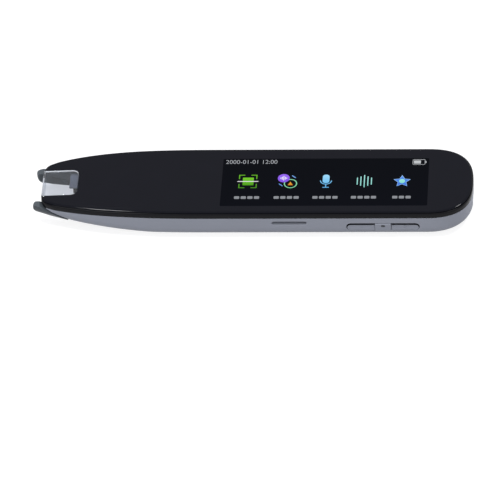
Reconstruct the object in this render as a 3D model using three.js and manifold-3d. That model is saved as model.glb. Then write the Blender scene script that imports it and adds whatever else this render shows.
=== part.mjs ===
// A hand-held scanning pen with a bar display, lying flat with its display up.
// Millimetres, +Z up. The nose points to -X and the side keys face -Y.
// The origin is under the middle of the pen, on the surface it lies on.

import * as THREE from 'three';
import { mergeVertices } from 'three/addons/utils/BufferGeometryUtils.js';
import Module from 'manifold-3d';

const wasm = await Module();
wasm.setup();

// Overall size
const bodyLength = 152.7;
const bodyWidth = 33.4;
const bodyThickness = 11.5;

// Plan outline: a rounded tail, a straight middle and a long taper to a blunt nose
const tailCurve = 16.6;
const taperLength = 61.8;
const noseWidth = 19.1;
const noseCorner = 4;
const noseCornerDegrees = 65;
const tailCurveShares = { along: 2.5, across: 2.73 };
const taperShares = { along: 2.77, across: 2.02 };

// Side view: the top falls and the underside rises towards the nose
const bandHeight = 2.6;
const noseHeight = 6.5;
const noseDrop = 1;
const noseDropLength = 37.2;
const noseRiseLength = 39.2;
const dropCurveShare = 2;
const riseCurveShare = 1.3;
const topRound = 1.2;
const bottomRound = 4.6;
const tailBottomRound = 8.2;
const nosePinchShare = 0.9;

// Casing walls and joints
const wall = 1.3;
const floorThickness = 1.2;
const webThickness = 0.9;
const shellSeam = 0.1;
const lipDepth = 0.9;
const lipThickness = 0.6;
const fitGap = 0.3;
const restGap = 0.1;
const overrun = 2;

// Cover glass and the clear window in its nose
const glassThickness = 0.9;
const glassInset = 0.5;
const glassSeam = 0.2;
const notchSide = 3;
const notchDepth = 12.6;
const notchCorner = 2.6;
const windowThickness = 1.3;
const windowLipThickness = 0.7;
const windowFrontDepth = 5;
const windowLedge = 0.7;
const cheekThickness = 0.7;

// Nose guard: two feet that slide back into the nose when pressed on paper
const tipReach = 2.9;
const tipTravel = 0.6;
const guardBelowSplit = 0.2;
const guardAboveUnderside = 1.6;
const guardRun = 10.2;
const guardGap = 0.45;
const footBelowGuard = 0.2;
const footFlare = 2.4;
const footInset = 0.35;
const footSink = 0.4;
const footCorner = 1.3;
const footTipWidth = 2.8;
const footTipCorner = 1.4;
const footTipAngleDegrees = 58;
const footTopRound = 1;
const footChinLength = 4.4;
const footChinHeight = 3.5;
const forkArmWidth = 1;
const forkArmHeight = 1.8;
const forkArmDrop = 3.8;
const forkBarWidth = 1.8;
const forkBarLift = 0.58;
const forkBarHeight = 1.2;
const forkBarBehindNotch = 3.4;
const springRadius = 0.9;
const springWire = 0.34;
const springLength = 3;
const springIn = 1.45;
const springHoldWidth = 2.4;
const springHoldLength = 1;
const springHoldHeight = 3.2;
const switchLength = 3.2;
const switchWidth = 4.4;
const switchHeight = 1.7;
const switchPlunger = 0.5;

// Camera that reads through the nose, with a light block on each side
const bracketThickness = 1;
const bracketClear = 0.55;
const cameraLength = 2.4;
const cameraBoardThickness = 0.6;
const barrelIn = 0.1;
const barrelLength = 3.4;
const barrelWall = 0.45;
const lensThickness = 0.8;
const lensBulge = 0.35;
const lightLength = 2.4;
const lightWidth = 1.6;
const lightHeight = 3.2;
const lightClear = 0.35;
const lightBelowLedge = 0.2;

// Display stack under the cover glass
const panelLength = 75;
const panelSide = 3.6;
const panelThickness = 1;
const panelToBoss = 1;
const panelCorner = 0.8;
const backlightThickness = 1.2;
const backlightRim = 0.7;
const backlightLip = 0.3;
const tapeThickness = 0.25;
const tapeWidth = 1;
const flexWidth = 14;
const flexThickness = 0.2;
const flexReach = 2.4;

// Main board and what is soldered to it
const boardSide = 5.2;
const boardThickness = 0.8;
const boardClear = 0.45;
const boardFromTail = 6.6;
const boardAheadOfScrew = 1.3;
const boardCorner = 1.5;
const shieldLength = 18;
const shieldWidth = 13;
const shieldHeight = 1.7;
const shieldSheet = 0.25;
const shieldToSpeaker = 0.6;
const processorSize = 10;
const processorHeight = 1;
const memoryLength = 11.5;
const memoryWidth = 10;
const memoryHeight = 1;
const memoryToShield = 2.85;
const micLength = 1.85;
const micWidth = 2.75;
const micHeight = 1;
const micToSocket = 0.75;
const micPortRadius = 0.45;

// Battery with its leads and plug
const batterySide = 5;
const batteryClear = 0.55;
const batteryLow = 2;
const batteryRound = 1.6;
const batteryToBoss = 4;
const batteryToSpeaker = 1;
const leadRadius = 0.4;
const leadSpread = 2;
const leadRise = 1.1;
const leadRun = 4;
const plugLength = 3;
const plugWidth = 5;
const plugHeight = 1.5;
const headerLength = 2;

// Loudspeaker behind the slot in the key side
const slotWidth = 12.1;
const slotHeight = 1.4;
const meshThickness = 0.15;
const meshRim = 0.7;
const meshGap = 0.1;
const speakerLength = 18;
const speakerDepth = 5;
const speakerLift = 0.4;
const speakerToKeys = 9.35;
const speakerClear = 0.35;
const speakerTuck = 0.95;
const speakerSnoutHeight = 1.8;
const speakerPortDepth = 1.2;
const speakerCorner = 0.8;

// Charging socket in the tail
const socketWidth = 8.94;
const socketHeight = 3.2;
const socketLength = 7.3;
const socketSheet = 0.3;
const socketSunk = 0.5;
const socketClear = 0.25;
const tongueWidth = 6.7;
const tongueThickness = 0.7;
const tongueLength = 4.5;
const tongueBlock = 1.6;

// Side keys, with their switches on a small upright board
const keyLength = 9.4;
const middleKeyLength = 5.4;
const keyHeight = 2.8;
const keyBelowMiddle = 0.1;
const keysFromTail = 30.9;
const keyGap = 0.25;
const keyCorner = 1.3;
const middleKeyCorner = 0.25;
const keySunk = 0.1;
const middleKeyProud = 0.15;
const keyTravel = 0.35;
const keyFlange = 0.5;
const keyFlangeLip = 0.3;
const keyStopGap = 0.35;
const keySwitchLength = 3;
const keySwitchHeight = 2;
const keySwitchDepth = 1;
const keySwitchButton = 0.9;
const keyRest = 0.1;
const keyBoardThickness = 0.8;
const keyBoardOverhang = 1.6;
const keyBoardDrop = 2.35;
const keyBoardClear = 0.35;

// Screws that hold the two casing halves together
const screwRadius = 0.8;
const screwHeadRadius = 1.4;
const screwHeadHeight = 0.8;
const screwLength = 5;
const screwSeat = 2.2;
const screwSlotWidth = 0.45;
const screwSlotDepth = 0.4;
const screwClear = 0.2;
const bossRadius = 2.1;
const bossGap = 0.3;
const bossMeet = 4.3;
const noseScrewToHold = 2;
const noseScrewIn = 7.5;
const tailScrewToMic = 0.35;
const tailScrewIn = 8.1;

// Ribs on the floor that hold the battery and the upright board
const ribThickness = 0.8;
const ribHeight = 2.2;

// How finely round shapes are divided
const tailStepCount = 11;
const taperStepCount = 20;
const roundStepCount = 5;
const topStepCount = 3;
const curveSegmentCount = 4;
const barrelSideCount = 24;
const bossSideCount = 20;
const screwSideCount = 18;
const leadSideCount = 8;
const leadStepCount = 14;
const springTurnCount = 5;
const springStepCount = 8;
const springSideCount = 5;

// Places that follow from the sizes
const tipX = -bodyLength / 2;
const noseX = tipX + tipReach;
const tailX = bodyLength / 2;
const tailCurveX = tailX - tailCurve;
const taperX = noseX + taperLength;
const noseWidthShare = (noseWidth / bodyWidth) ** taperShares.across;
const taperReach = taperLength / (1 - noseWidthShare) ** (1 / taperShares.along);
const halfWidth = bodyWidth / 2;
const notchHalf = noseWidth / 2 - notchSide;
const splitHeight = bodyThickness - bandHeight;
const noseRise = bodyThickness - noseDrop - noseHeight;
const notchX = noseX + notchDepth;
const glassLow = bodyThickness - glassThickness;
const webTop = glassLow - restGap;
const webLow = webTop - webThickness;
const wallInner = halfWidth - wall;
const panelWidth = bodyWidth - panelSide * 2;
const boardTailX = tailX - boardFromTail;
const tailScrewX = boardTailX - micLength - tailScrewToMic - bossRadius;
const panelX = tailScrewX - bossRadius - panelToBoss - panelLength / 2;
const panelNoseX = panelX - panelLength / 2;
const cheekOuter = notchHalf + cheekThickness;
const forkArmInner = cheekOuter + fitGap;
const forkArmOuter = forkArmInner + forkArmWidth;
const forkArmX = noseX + wall + tipTravel + fitGap * 2;
const forkBarX = notchX + forkBarBehindNotch;
const forkTailX = forkBarX + forkBarWidth;
const springOut = forkArmInner - springIn;
const bracketHalf = forkArmInner - bracketClear;
const springHoldX = forkTailX + fitGap + springLength + fitGap;
const noseScrewX = springHoldX + springHoldLength + noseScrewToHold + bossRadius;
const boardNoseX = noseScrewX - boardAheadOfScrew;
const bracketX = notchX + fitGap;
const cameraFrontX = bracketX + bracketThickness + fitGap;
const cameraBackX = cameraFrontX + cameraLength;

// Heights that follow from the sizes
const tapeTop = glassLow - restGap / 2;
const panelTop = tapeTop - tapeThickness - restGap / 2;
const backlightTop = panelTop - panelThickness - restGap / 2;
const backlightLow = backlightTop - backlightThickness;
const boardTop = backlightLow - boardClear;
const boardUnderside = boardTop - boardThickness;
const underBoard = boardUnderside - restGap / 2;
const guardHigh = splitHeight - guardBelowSplit;
const guardLow = undersideAt(noseX + guardRun) + guardAboveUnderside;
const footTop = guardHigh - footBelowGuard;
const footLow = noseRise - footSink;
const forkArmLow = guardHigh - forkArmDrop;
const forkArmHigh = forkArmLow + forkArmHeight;
const forkBarLow = undersideAt(forkBarX) + floorThickness + forkBarLift;
const forkBarHigh = forkBarLow + forkBarHeight;
const ledgeLow = webLow - windowLedge - noseDrop;
const cameraLow = forkBarHigh + fitGap;
const cameraHigh = webLow - dropAt(cameraFrontX) - fitGap;
const cameraHeight = (cameraLow + cameraHigh) / 2;
const barrelRadius = cameraHeight - cameraLow - barrelIn;
const slotMiddle = backlightLow - fitGap - speakerSnoutHeight / 2;
const keyMiddle = (floorThickness + splitHeight) / 2 - keyBelowMiddle;
const halfTurn = Math.PI;
const quarterTurn = Math.PI / 2;
const radians = THREE.MathUtils.degToRad;

// How far along a rise or fall a place is: 0 where it starts, 1 at the nose
function noseShare(x, length) {
  return THREE.MathUtils.clamp((noseX + length - x) / length, 0, 1);
}

// Fall of the top surface at a place along the pen
function dropAt(x) {
  return noseDrop * noseShare(x, noseDropLength) ** dropCurveShare;
}

// Height of the underside at a place along the pen
function undersideAt(x) {
  return noseRise * noseShare(x, noseRiseLength) ** riseCurveShare;
}

// Height of the bottom rounding, which shrinks where the nose gets thin
function roundHeightAt(x) {
  const room = (splitHeight - dropAt(x) - undersideAt(x)) * nosePinchShare;
  return Math.min(bottomRound, room);
}

// A level that follows the falling top surface
function fallingLevel(height) {
  return (x) => height - dropAt(x);
}

// Slanted lower edge of the nose casing, above the feet
function guardEdgeAt(x) {
  return guardHigh - (guardHigh - guardLow) * (x - noseX) / guardRun;
}

// Half of the plan outline from the tail to the nose, drawn in from the full size by the insets
function halfOutline(inset) {
  const half = halfWidth - inset.side;
  const tail = tailCurve - inset.tail;
  const taper = taperReach - inset.nose;
  const points = [];
  for (let i = 0; i <= tailStepCount; i += 1) {
    const angle = quarterTurn * i / tailStepCount;
    const x = tailCurveX + tail * Math.cos(angle) ** (2 / tailCurveShares.along);
    points.push([x, half * Math.sin(angle) ** (2 / tailCurveShares.across)]);
  }
  for (let i = taperStepCount; i >= 0; i -= 1) {
    const angle = quarterTurn * i / taperStepCount;
    const x = taperX - taper * Math.cos(angle) ** (2 / taperShares.along);
    points.push([x, half * Math.sin(angle) ** (2 / taperShares.across)]);
  }
  points[tailStepCount][0] = tailCurveX;
  points[tailStepCount + 1][0] = taperX;
  points[points.length - 1][1] = 0;
  return points;
}

// Closed body from a stack of plan outlines; each level has an inset and a height along the pen
function outlineBody(levels) {
  const positions = [];
  const triangles = [];
  let count = 0;
  for (const level of levels) {
    const half = halfOutline(level.inset);
    const mirrored = half.slice(1, -1).reverse().map(([x, y]) => [x, -y]);
    const ring = [...half, ...mirrored];
    count = ring.length;
    ring.forEach(([x, y]) => positions.push(x, y, level.height(x)));
  }
  for (let row = 0; row < levels.length - 1; row += 1) {
    for (let i = 0; i < count; i += 1) {
      const low = row * count;
      const next = (i + 1) % count;
      triangles.push(low + i, low + next, low + count + next);
      triangles.push(low + i, low + count + next, low + count + i);
    }
  }
  const top = (levels.length - 1) * count;
  for (let i = 0; i < count / 2; i += 1) {
    const across = (count - i) % count;
    const acrossNext = count - i - 1;
    triangles.push(top + i, top + i + 1, top + acrossNext);
    triangles.push(i, acrossNext, i + 1);
    if (i > 0) {
      triangles.push(top + i, top + acrossNext, top + across);
      triangles.push(i, across, acrossNext);
    }
  }
  const kept = [];
  for (let i = 0; i < triangles.length; i += 3) {
    const [a, b, c] = triangles.slice(i, i + 3);
    if (a !== b && b !== c && a !== c) kept.push(a, b, c);
  }
  const geometry = new THREE.BufferGeometry();
  geometry.setAttribute('position', new THREE.Float32BufferAttribute(positions, 3));
  geometry.setIndex(kept);
  return solid(geometry);
}

// Turns a closed geometry into a solid that can be joined and cut
function solid(source) {
  const bare = source.clone();
  bare.deleteAttribute('normal');
  bare.deleteAttribute('uv');
  const merged = mergeVertices(bare);
  const vertProperties = Float32Array.from(merged.attributes.position.array);
  const triVerts = Uint32Array.from(merged.index.array);
  return new wasm.Manifold(new wasm.Mesh({ numProp: 3, vertProperties, triVerts }));
}

// Turns a solid back into a geometry
function geometryOf(body) {
  const mesh = body.getMesh();
  const geometry = new THREE.BufferGeometry();
  geometry.setAttribute('position', new THREE.BufferAttribute(mesh.vertProperties, 3));
  geometry.setIndex(new THREE.BufferAttribute(mesh.triVerts, 1));
  geometry.computeVertexNormals();
  return geometry;
}

function joined(first, ...others) {
  return others.reduce((body, other) => body.add(other), first);
}

function cut(first, ...others) {
  return others.reduce((body, other) => body.subtract(other), first);
}

// Box between two ends on each axis
function block([x0, x1], [y0, y1], [z0, z1]) {
  const geometry = new THREE.BoxGeometry(x1 - x0, y1 - y0, z1 - z0);
  geometry.translate((x0 + x1) / 2, (y0 + y1) / 2, (z0 + z1) / 2);
  return solid(geometry);
}

// Rectangle with round corners, centred; a corner is no rounder than half of a side
function roundedRectangle(width, height, askedCorner) {
  const w = width / 2;
  const h = height / 2;
  const corner = Math.min(askedCorner, w, h);
  const shape = new THREE.Shape();
  shape.moveTo(w, corner - h);
  shape.lineTo(w, h - corner);
  shape.absarc(w - corner, h - corner, corner, 0, quarterTurn);
  shape.lineTo(corner - w, h);
  shape.absarc(corner - w, h - corner, corner, quarterTurn, halfTurn);
  shape.lineTo(-w, corner - h);
  shape.absarc(corner - w, corner - h, corner, halfTurn, halfTurn + quarterTurn);
  shape.lineTo(w - corner, -h);
  shape.absarc(w - corner, corner - h, corner, -quarterTurn, 0);
  return shape;
}

function extruded(shape, depth) {
  const options = { depth, bevelEnabled: false, curveSegments: curveSegmentCount };
  return new THREE.ExtrudeGeometry(shape, options);
}

// Upright prism of a plan shape
function uprightPrism(shape, low, high) {
  return solid(extruded(shape, high - low).translate(0, 0, low));
}

// Prism of a side-view shape, with its x and z, from one place across the pen to another
function crossPrism(shape, [y0, y1]) {
  return solid(extruded(shape, y1 - y0).rotateX(quarterTurn).translate(0, y1, 0));
}

// Plate with round corners, lying flat
function flatPlate([x, y], length, width, corner, [low, high]) {
  const geometry = extruded(roundedRectangle(length, width, corner), high - low);
  return solid(geometry.translate(x, y, low));
}

function upright(radius, [x, y], [low, high], sideCount) {
  const geometry = new THREE.CylinderGeometry(radius, radius, high - low, sideCount);
  return solid(geometry.rotateX(quarterTurn).translate(x, y, (low + high) / 2));
}

function lengthways(radius, [x0, x1], y, z, sideCount) {
  const geometry = new THREE.CylinderGeometry(radius, radius, x1 - x0, sideCount);
  return solid(geometry.rotateZ(quarterTurn).translate((x0 + x1) / 2, y, z));
}

// The same solid on the other side of the pen
function otherSide(body) {
  const geometry = geometryOf(body);
  geometry.scale(1, -1, 1);
  const order = geometry.index.array;
  for (let i = 0; i < order.length; i += 3) {
    [order[i], order[i + 1]] = [order[i + 1], order[i]];
  }
  return solid(geometry);
}

function bothSides(body) {
  return body.add(otherSide(body));
}

const noInset = { side: 0, tail: 0, nose: 0 };

function evenInset(inset) {
  return { side: inset, tail: inset, nose: inset };
}

// Levels of the rounded underside, for the outer skin or, with a wall, for the inner skin
function bottomLevels(inset, lift) {
  const levels = [];
  for (let i = 0; i <= roundStepCount; i += 1) {
    const angle = quarterTurn * i / roundStepCount;
    const curl = 1 - Math.sin(angle);
    const side = inset + (bottomRound - inset) * curl;
    const tail = inset + (tailBottomRound - inset) * curl;
    const height = (x) => undersideAt(x) + lift + (roundHeightAt(x) - lift) * (1 - Math.cos(angle));
    levels.push({ inset: { side, tail, nose: side }, height });
  }
  return levels;
}

// Levels of the rounded top edge
function topLevels() {
  const levels = [];
  for (let i = 0; i <= topStepCount; i += 1) {
    const angle = quarterTurn * i / topStepCount;
    const inset = evenInset(topRound * (1 - Math.cos(angle)));
    const height = fallingLevel(bodyThickness - topRound * (1 - Math.sin(angle)));
    levels.push({ inset, height });
  }
  return levels;
}

// Space behind the front of the nose and its two round corners, drawn in by an inset
function noseTrim(inset) {
  const flat = notchHalf + restGap;
  const turn = radians(noseCornerDegrees);
  const corner = noseCorner - inset;
  const cornerX = noseX + noseCorner;
  const far = bodyWidth;
  const endX = cornerX - corner * Math.cos(turn);
  const endY = flat + corner * Math.sin(turn);
  const farX = endX + (far - endY) * Math.tan(turn);
  const shape = new THREE.Shape();
  shape.moveTo(cornerX - corner, -flat);
  shape.absarc(cornerX, -flat, corner, halfTurn, halfTurn + turn);
  shape.lineTo(farX, -far);
  shape.lineTo(farX + bodyLength, -far);
  shape.lineTo(farX + bodyLength, far);
  shape.lineTo(farX, far);
  shape.absarc(cornerX, flat, corner, halfTurn - turn, halfTurn);
  return uprightPrism(shape, -overrun, bodyThickness + overrun);
}

// Everything below the slanted lower edge of the nose casing, drawn down and forward by two gaps
function belowGuardEdge(gap, back) {
  const shape = new THREE.Shape();
  const slope = (guardHigh - guardLow) / guardRun;
  const down = gap * Math.hypot(1, slope);
  const aheadX = tipX - overrun;
  const endX = noseX + guardRun - back;
  shape.moveTo(aheadX, -overrun);
  shape.lineTo(endX, -overrun);
  shape.lineTo(endX, guardEdgeAt(endX) - down);
  shape.lineTo(aheadX, guardEdgeAt(aheadX) - down);
  return crossPrism(shape, [-bodyWidth, bodyWidth]);
}

// Plan of the notch for the clear window, drawn in by a gap
function notchShape(gap) {
  const half = notchHalf - gap;
  const end = notchX - gap;
  const corner = notchCorner - gap;
  const start = noseX - overrun;
  const shape = new THREE.Shape();
  shape.moveTo(start, -half);
  shape.lineTo(end - corner, -half);
  shape.absarc(end - corner, corner - half, corner, -quarterTurn, 0);
  shape.lineTo(end, half - corner);
  shape.absarc(end - corner, half - corner, corner, 0, quarterTurn);
  shape.lineTo(start, half);
  return shape;
}

function notchBody(gap, low, high) {
  return uprightPrism(notchShape(gap), low, high);
}

// Screw places under the nose and under the tail, on both sides
const screwPlaces = {
  screw_nose_left: [noseScrewX, halfWidth - noseScrewIn],
  screw_nose_right: [noseScrewX, noseScrewIn - halfWidth],
  screw_tail_left: [tailScrewX, halfWidth - tailScrewIn],
  screw_tail_right: [tailScrewX, tailScrewIn - halfWidth],
};

const boreRadius = screwRadius + screwClear;
const screwHeadLow = screwSeat - screwHeadHeight;
const screwTop = screwSeat + screwLength;

// Side keys: name, middle along the pen, length and corner of the cap, and how far it stands out
const keysX = tailX - keysFromTail;
const keySpacing = (middleKeyLength + keyLength) / 2 + keyGap;
const keyRowLength = keySpacing * 2 + keyLength;
const keys = [
  { name: 'left_key', x: keysX - keySpacing, length: keyLength, corner: keyCorner, proud: -keySunk },
  { name: 'middle_key', x: keysX, length: middleKeyLength, corner: middleKeyCorner, proud: middleKeyProud },
  { name: 'right_key', x: keysX + keySpacing, length: keyLength, corner: keyCorner, proud: -keySunk },
];
const keyFlangeY = -wallInner + keyStopGap;
const keyBackY = keyFlangeY + keyFlange;
const keySwitchY = keyBackY + keyTravel + keyRest;
const keyBoardY = keySwitchY + keySwitchButton + keySwitchDepth + restGap;

// Opening for the row of side keys, with round ends, and the room for their flanges behind it
function keyOpening() {
  const length = keyRowLength + keyGap * 2;
  const height = keyHeight + keyGap * 2;
  const geometry = extruded(roundedRectangle(length, height, keyCorner + keyGap), wall + overrun * 2);
  const opening = solid(geometry.rotateX(quarterTurn).translate(keysX, -wallInner + overrun, keyMiddle));
  const roomHalf = keyHeight / 2 + keyFlangeLip + fitGap;
  const room = block([keysX - length / 2, keysX + length / 2], [-wallInner, keyBackY + keyTravel + fitGap],
    [keyMiddle - roomHalf, keyMiddle + roomHalf]);
  return opening.add(room);
}

// Slot in the key side for the loudspeaker, and the room for its mesh and snout behind it
const speakerTailX = keysX - keyRowLength / 2 - keyBoardOverhang - speakerToKeys;
const slotX = speakerTailX - speakerLength / 2;
const snoutHalf = slotWidth / 2 + meshRim;
const meshY = -wallInner + meshGap;
const snoutY = meshY + meshThickness + meshGap;
const speakerBoxY = bottomRound - halfWidth - speakerTuck;
const snoutBackY = speakerBoxY + speakerCorner;

function slotOpening() {
  const shape = roundedRectangle(slotWidth, slotHeight, slotHeight / 2);
  const geometry = extruded(shape, wall + overrun * 2);
  const opening = solid(geometry.rotateX(quarterTurn).translate(slotX, -wallInner + overrun, slotMiddle));
  const roomHalf = (slotHeight + meshRim) / 2 + restGap;
  const room = block([slotX - snoutHalf - fitGap, slotX + snoutHalf + fitGap], [-wallInner, snoutBackY],
    [slotMiddle - roomHalf, slotMiddle + roomHalf]);
  return opening.add(room);
}

// Charging socket: its mouth and the opening in the tail
const socketMouthX = tailX - socketSunk;
const socketZ = boardUnderside - restGap - socketHeight / 2;

function socketShape(grow) {
  const height = socketHeight + grow * 2;
  return roundedRectangle(height, socketWidth + grow * 2, height / 2);
}

// The section has its z along the first axis, so it is turned to stand across the pen
function socketPrism(grow, [x0, x1]) {
  const geometry = extruded(socketShape(grow), x1 - x0);
  return solid(geometry.rotateY(quarterTurn).translate(x0, 0, socketZ));
}

function lowerHousing() {
  const top = { inset: noInset, height: fallingLevel(splitHeight) };
  const above = { inset: evenInset(wall), height: () => splitHeight + overrun };
  const outer = outlineBody([...bottomLevels(0, 0), top]);
  const hollow = outlineBody([...bottomLevels(wall, floorThickness), above]);
  let housing = cut(outer.intersect(noseTrim(0)), hollow.intersect(noseTrim(wall)));
  const bosses = Object.values(screwPlaces).map((place) =>
    upright(bossRadius, place, [0, bossMeet - bossGap], bossSideCount));
  housing = joined(housing, ...bosses.map((boss) => boss.intersect(outer)), ...floorRibs(outer));
  const bores = Object.values(screwPlaces).flatMap((place) => [
    upright(boreRadius, place, [-overrun, bodyThickness], bossSideCount),
    upright(screwHeadRadius + screwClear, place, [-overrun, screwSeat - restGap], bossSideCount),
  ]);
  const aperture = block([tipX - overrun, notchX + fitGap], [-cheekOuter - fitGap, cheekOuter + fitGap],
    [-overrun, bodyThickness]);
  const micPort = lengthways(micPortRadius, [boardTailX, tailX + overrun], micOut,
    underBoard - micHeight / 2, bossSideCount);
  return cut(housing, ...bores, aperture, belowGuardEdge(0, 0), forkChannel(), keyOpening(), slotOpening(),
    socketPrism(socketClear, [boardTailX, tailX + overrun]), micPort);
}

// Room for the arms of the fork to slide in
function forkChannel() {
  const half = forkArmOuter + fitGap;
  return block([forkArmX - fitGap, forkTailX + tipTravel + fitGap], [-half, half],
    [forkArmLow - fitGap, forkArmHigh + fitGap]);
}

// Low ribs on the floor at both ends of the battery, behind the key board and behind the tip switch
const batteryNoseX = noseScrewX + bossRadius + batteryToBoss;
const batteryTailX = slotX - speakerLength / 2 - batteryToSpeaker;
const batteryLength = batteryTailX - batteryNoseX;
const batteryWidth = bodyWidth - batterySide * 2;
const batteryThickness = boardUnderside - batteryLow - batteryClear;

function floorRibs(outer) {
  const half = batteryWidth / 4;
  const low = floorThickness / 2;
  const across = [batteryNoseX - fitGap - ribThickness, batteryTailX + fitGap].map((x) =>
    block([x, x + ribThickness], [-half, half], [low, floorThickness + ribHeight]));
  const boardBack = keyBoardY + keyBoardThickness + fitGap;
  const behindKeys = block([keysX - keyRowLength / 2, keysX + keyRowLength / 2],
    [boardBack, boardBack + ribThickness], [low, floorThickness + ribHeight]);
  const hold = block([springHoldX, springHoldX + springHoldLength],
    [springOut - springHoldWidth / 2, springOut + springHoldWidth / 2],
    [undersideAt(springHoldX) + low, undersideAt(springHoldX) + floorThickness + springHoldHeight]);
  const shelf = block([switchX, switchX + switchLength], [-switchWidth / 2, switchWidth / 2],
    [undersideAt(switchX) + low, switchLow - restGap]);
  return [...across, behindKeys, bothSides(hold), shelf].map((rib) => rib.intersect(outer));
}

// Whole upper casing, from the split line to the rounded top edge
function upperBody() {
  const base = { inset: noInset, height: fallingLevel(splitHeight + shellSeam) };
  return outlineBody([base, ...topLevels()]).intersect(noseTrim(0));
}

function slabBetween(inset, low, high) {
  const insets = evenInset(inset);
  return outlineBody([
    { inset: insets, height: fallingLevel(low) },
    { inset: insets, height: fallingLevel(high) },
  ]);
}

function upperFrame() {
  const recess = slabBetween(glassInset - glassSeam, webTop, bodyThickness + overrun);
  const hollow = slabBetween(wall, splitHeight - overrun, webLow).intersect(noseTrim(wall));
  const opening = flatPlate([panelX, 0], panelLength + fitGap * 2, panelWidth + fitGap * 2, panelCorner,
    [splitHeight - overrun, bodyThickness]);
  const flexRoom = block([panelNoseX - restGap - flexThickness - fitGap, panelX],
    [-flexWidth / 2 - fitGap, flexWidth / 2 + fitGap], [splitHeight - overrun, bodyThickness]);
  const lipInset = wall + fitGap;
  const lipTop = slabBetween(lipInset, splitHeight - lipDepth, webLow + restGap)
    .intersect(noseTrim(lipInset));
  const lipHollow = slabBetween(lipInset + lipThickness, splitHeight - overrun, bodyThickness)
    .intersect(noseTrim(lipInset + lipThickness));
  const behindNose = block([notchX + fitGap, tailX], [-bodyWidth, bodyWidth], [0, bodyThickness]);
  const keySide = block([keysX - keyRowLength / 2 - overrun, keysX + keyRowLength / 2 + overrun],
    [-bodyWidth, 0], [0, splitHeight]);
  const slotSide = block([slotX - speakerLength / 2 - fitGap, slotX + speakerLength / 2 + fitGap],
    [-bodyWidth, 0], [0, splitHeight]);
  const lip = cut(cut(lipTop, lipHollow).intersect(behindNose), keySide, slotSide);
  const notch = notchBody(0, -overrun, bodyThickness + overrun);
  const frame = cut(upperBody(), recess, hollow, opening, flexRoom, notch, belowGuardEdge(0, 0));
  const bosses = Object.values(screwPlaces).map((place) =>
    cut(upright(bossRadius, place, [bossMeet, webLow + restGap - dropAt(place[0])], bossSideCount),
      upright(boreRadius, place, [0, screwTop + screwClear], bossSideCount)));
  return joined(frame, lip, ...bosses, noseCheeks());
}

// Inner walls of the nose beside the window, with the ledge that the window lies on
function noseCheeks() {
  const ledgeTop = bodyThickness - windowThickness - restGap;
  const wallBox = block([noseX, notchX], [notchHalf, cheekOuter], [guardLow, webLow + restGap]);
  const ledge = block([noseX + windowLipThickness + fitGap, notchX],
    [notchHalf - windowLedge, cheekOuter], [ledgeLow, ledgeTop]);
  const under = outlineBody([
    { inset: noInset, height: () => 0 },
    { inset: noInset, height: fallingLevel(ledgeTop) },
  ]);
  const cheek = cut(wallBox.add(ledge), belowGuardEdge(0, 0)).intersect(under);
  return bothSides(cheek);
}

function coverGlass() {
  const plug = slabBetween(glassInset, glassLow, bodyThickness + overrun);
  return cut(upperBody().intersect(plug), notchBody(0, -overrun, bodyThickness + overrun));
}

// Clear window: a plate in the notch with a lip down over the front of the nose
function noseWindow() {
  const low = bodyThickness - windowThickness;
  const plate = notchBody(glassSeam, 0, bodyThickness)
    .intersect(upperBodyAbove(low));
  const lip = block([noseX, noseX + windowLipThickness], [glassSeam - notchHalf, notchHalf - glassSeam],
    [0, bodyThickness]).intersect(upperBodyAbove(low - windowFrontDepth));
  return plate.add(lip);
}

// The part of the upper casing above a level that falls with the top
function upperBodyAbove(low) {
  const whole = outlineBody([
    { inset: noInset, height: fallingLevel(low) },
    ...topLevels().slice(1),
  ]);
  return whole.intersect(noseTrim(0));
}

// Two feet with arms along the nose and a bar across behind the camera
function tipFork() {
  const inner = notchHalf + footInset;
  const rear = noseX + guardRun;
  const innerCorner = Math.min(footCorner, footTipWidth / 2);
  const outerCorner = Math.min(footTipCorner, footTipWidth / 2);
  const turn = radians(footTipAngleDegrees);
  const arcX = tipX + outerCorner;
  const arcY = inner + footTipWidth - outerCorner;
  const flareX = arcX - outerCorner * Math.cos(turn);
  const flareY = arcY + outerCorner * Math.sin(turn);
  const plan = new THREE.Shape();
  plan.moveTo(rear, inner);
  plan.lineTo(rear, flareY + (rear - flareX) / Math.tan(turn));
  plan.absarc(arcX, arcY, outerCorner, halfTurn - turn, halfTurn);
  plan.absarc(tipX + innerCorner, inner + innerCorner, innerCorner, halfTurn, halfTurn + quarterTurn);
  const levels = bottomLevels(footInset, -footSink);
  levels.forEach((level) => {
    level.inset = { ...level.inset, nose: level.inset.nose - footFlare };
  });
  const grown = { side: footInset, tail: footInset, nose: footInset - footFlare };
  const skin = outlineBody([...levels, { inset: grown, height: () => splitHeight }]);
  const foot = uprightPrism(plan, 0, footTop).intersect(skin).intersect(footProfile());
  const arm = block([forkArmX, forkTailX], [forkArmInner, forkArmOuter], [forkArmLow, forkArmHigh]);
  const post = block([forkBarX, forkTailX], [forkArmInner, forkArmOuter], [forkBarLow, forkArmHigh]);
  const bar = block([forkBarX, forkTailX], [-forkArmOuter, forkArmOuter], [forkBarLow, forkBarHigh]);
  return bothSides(joined(foot, arm, post)).add(bar);
}

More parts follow.
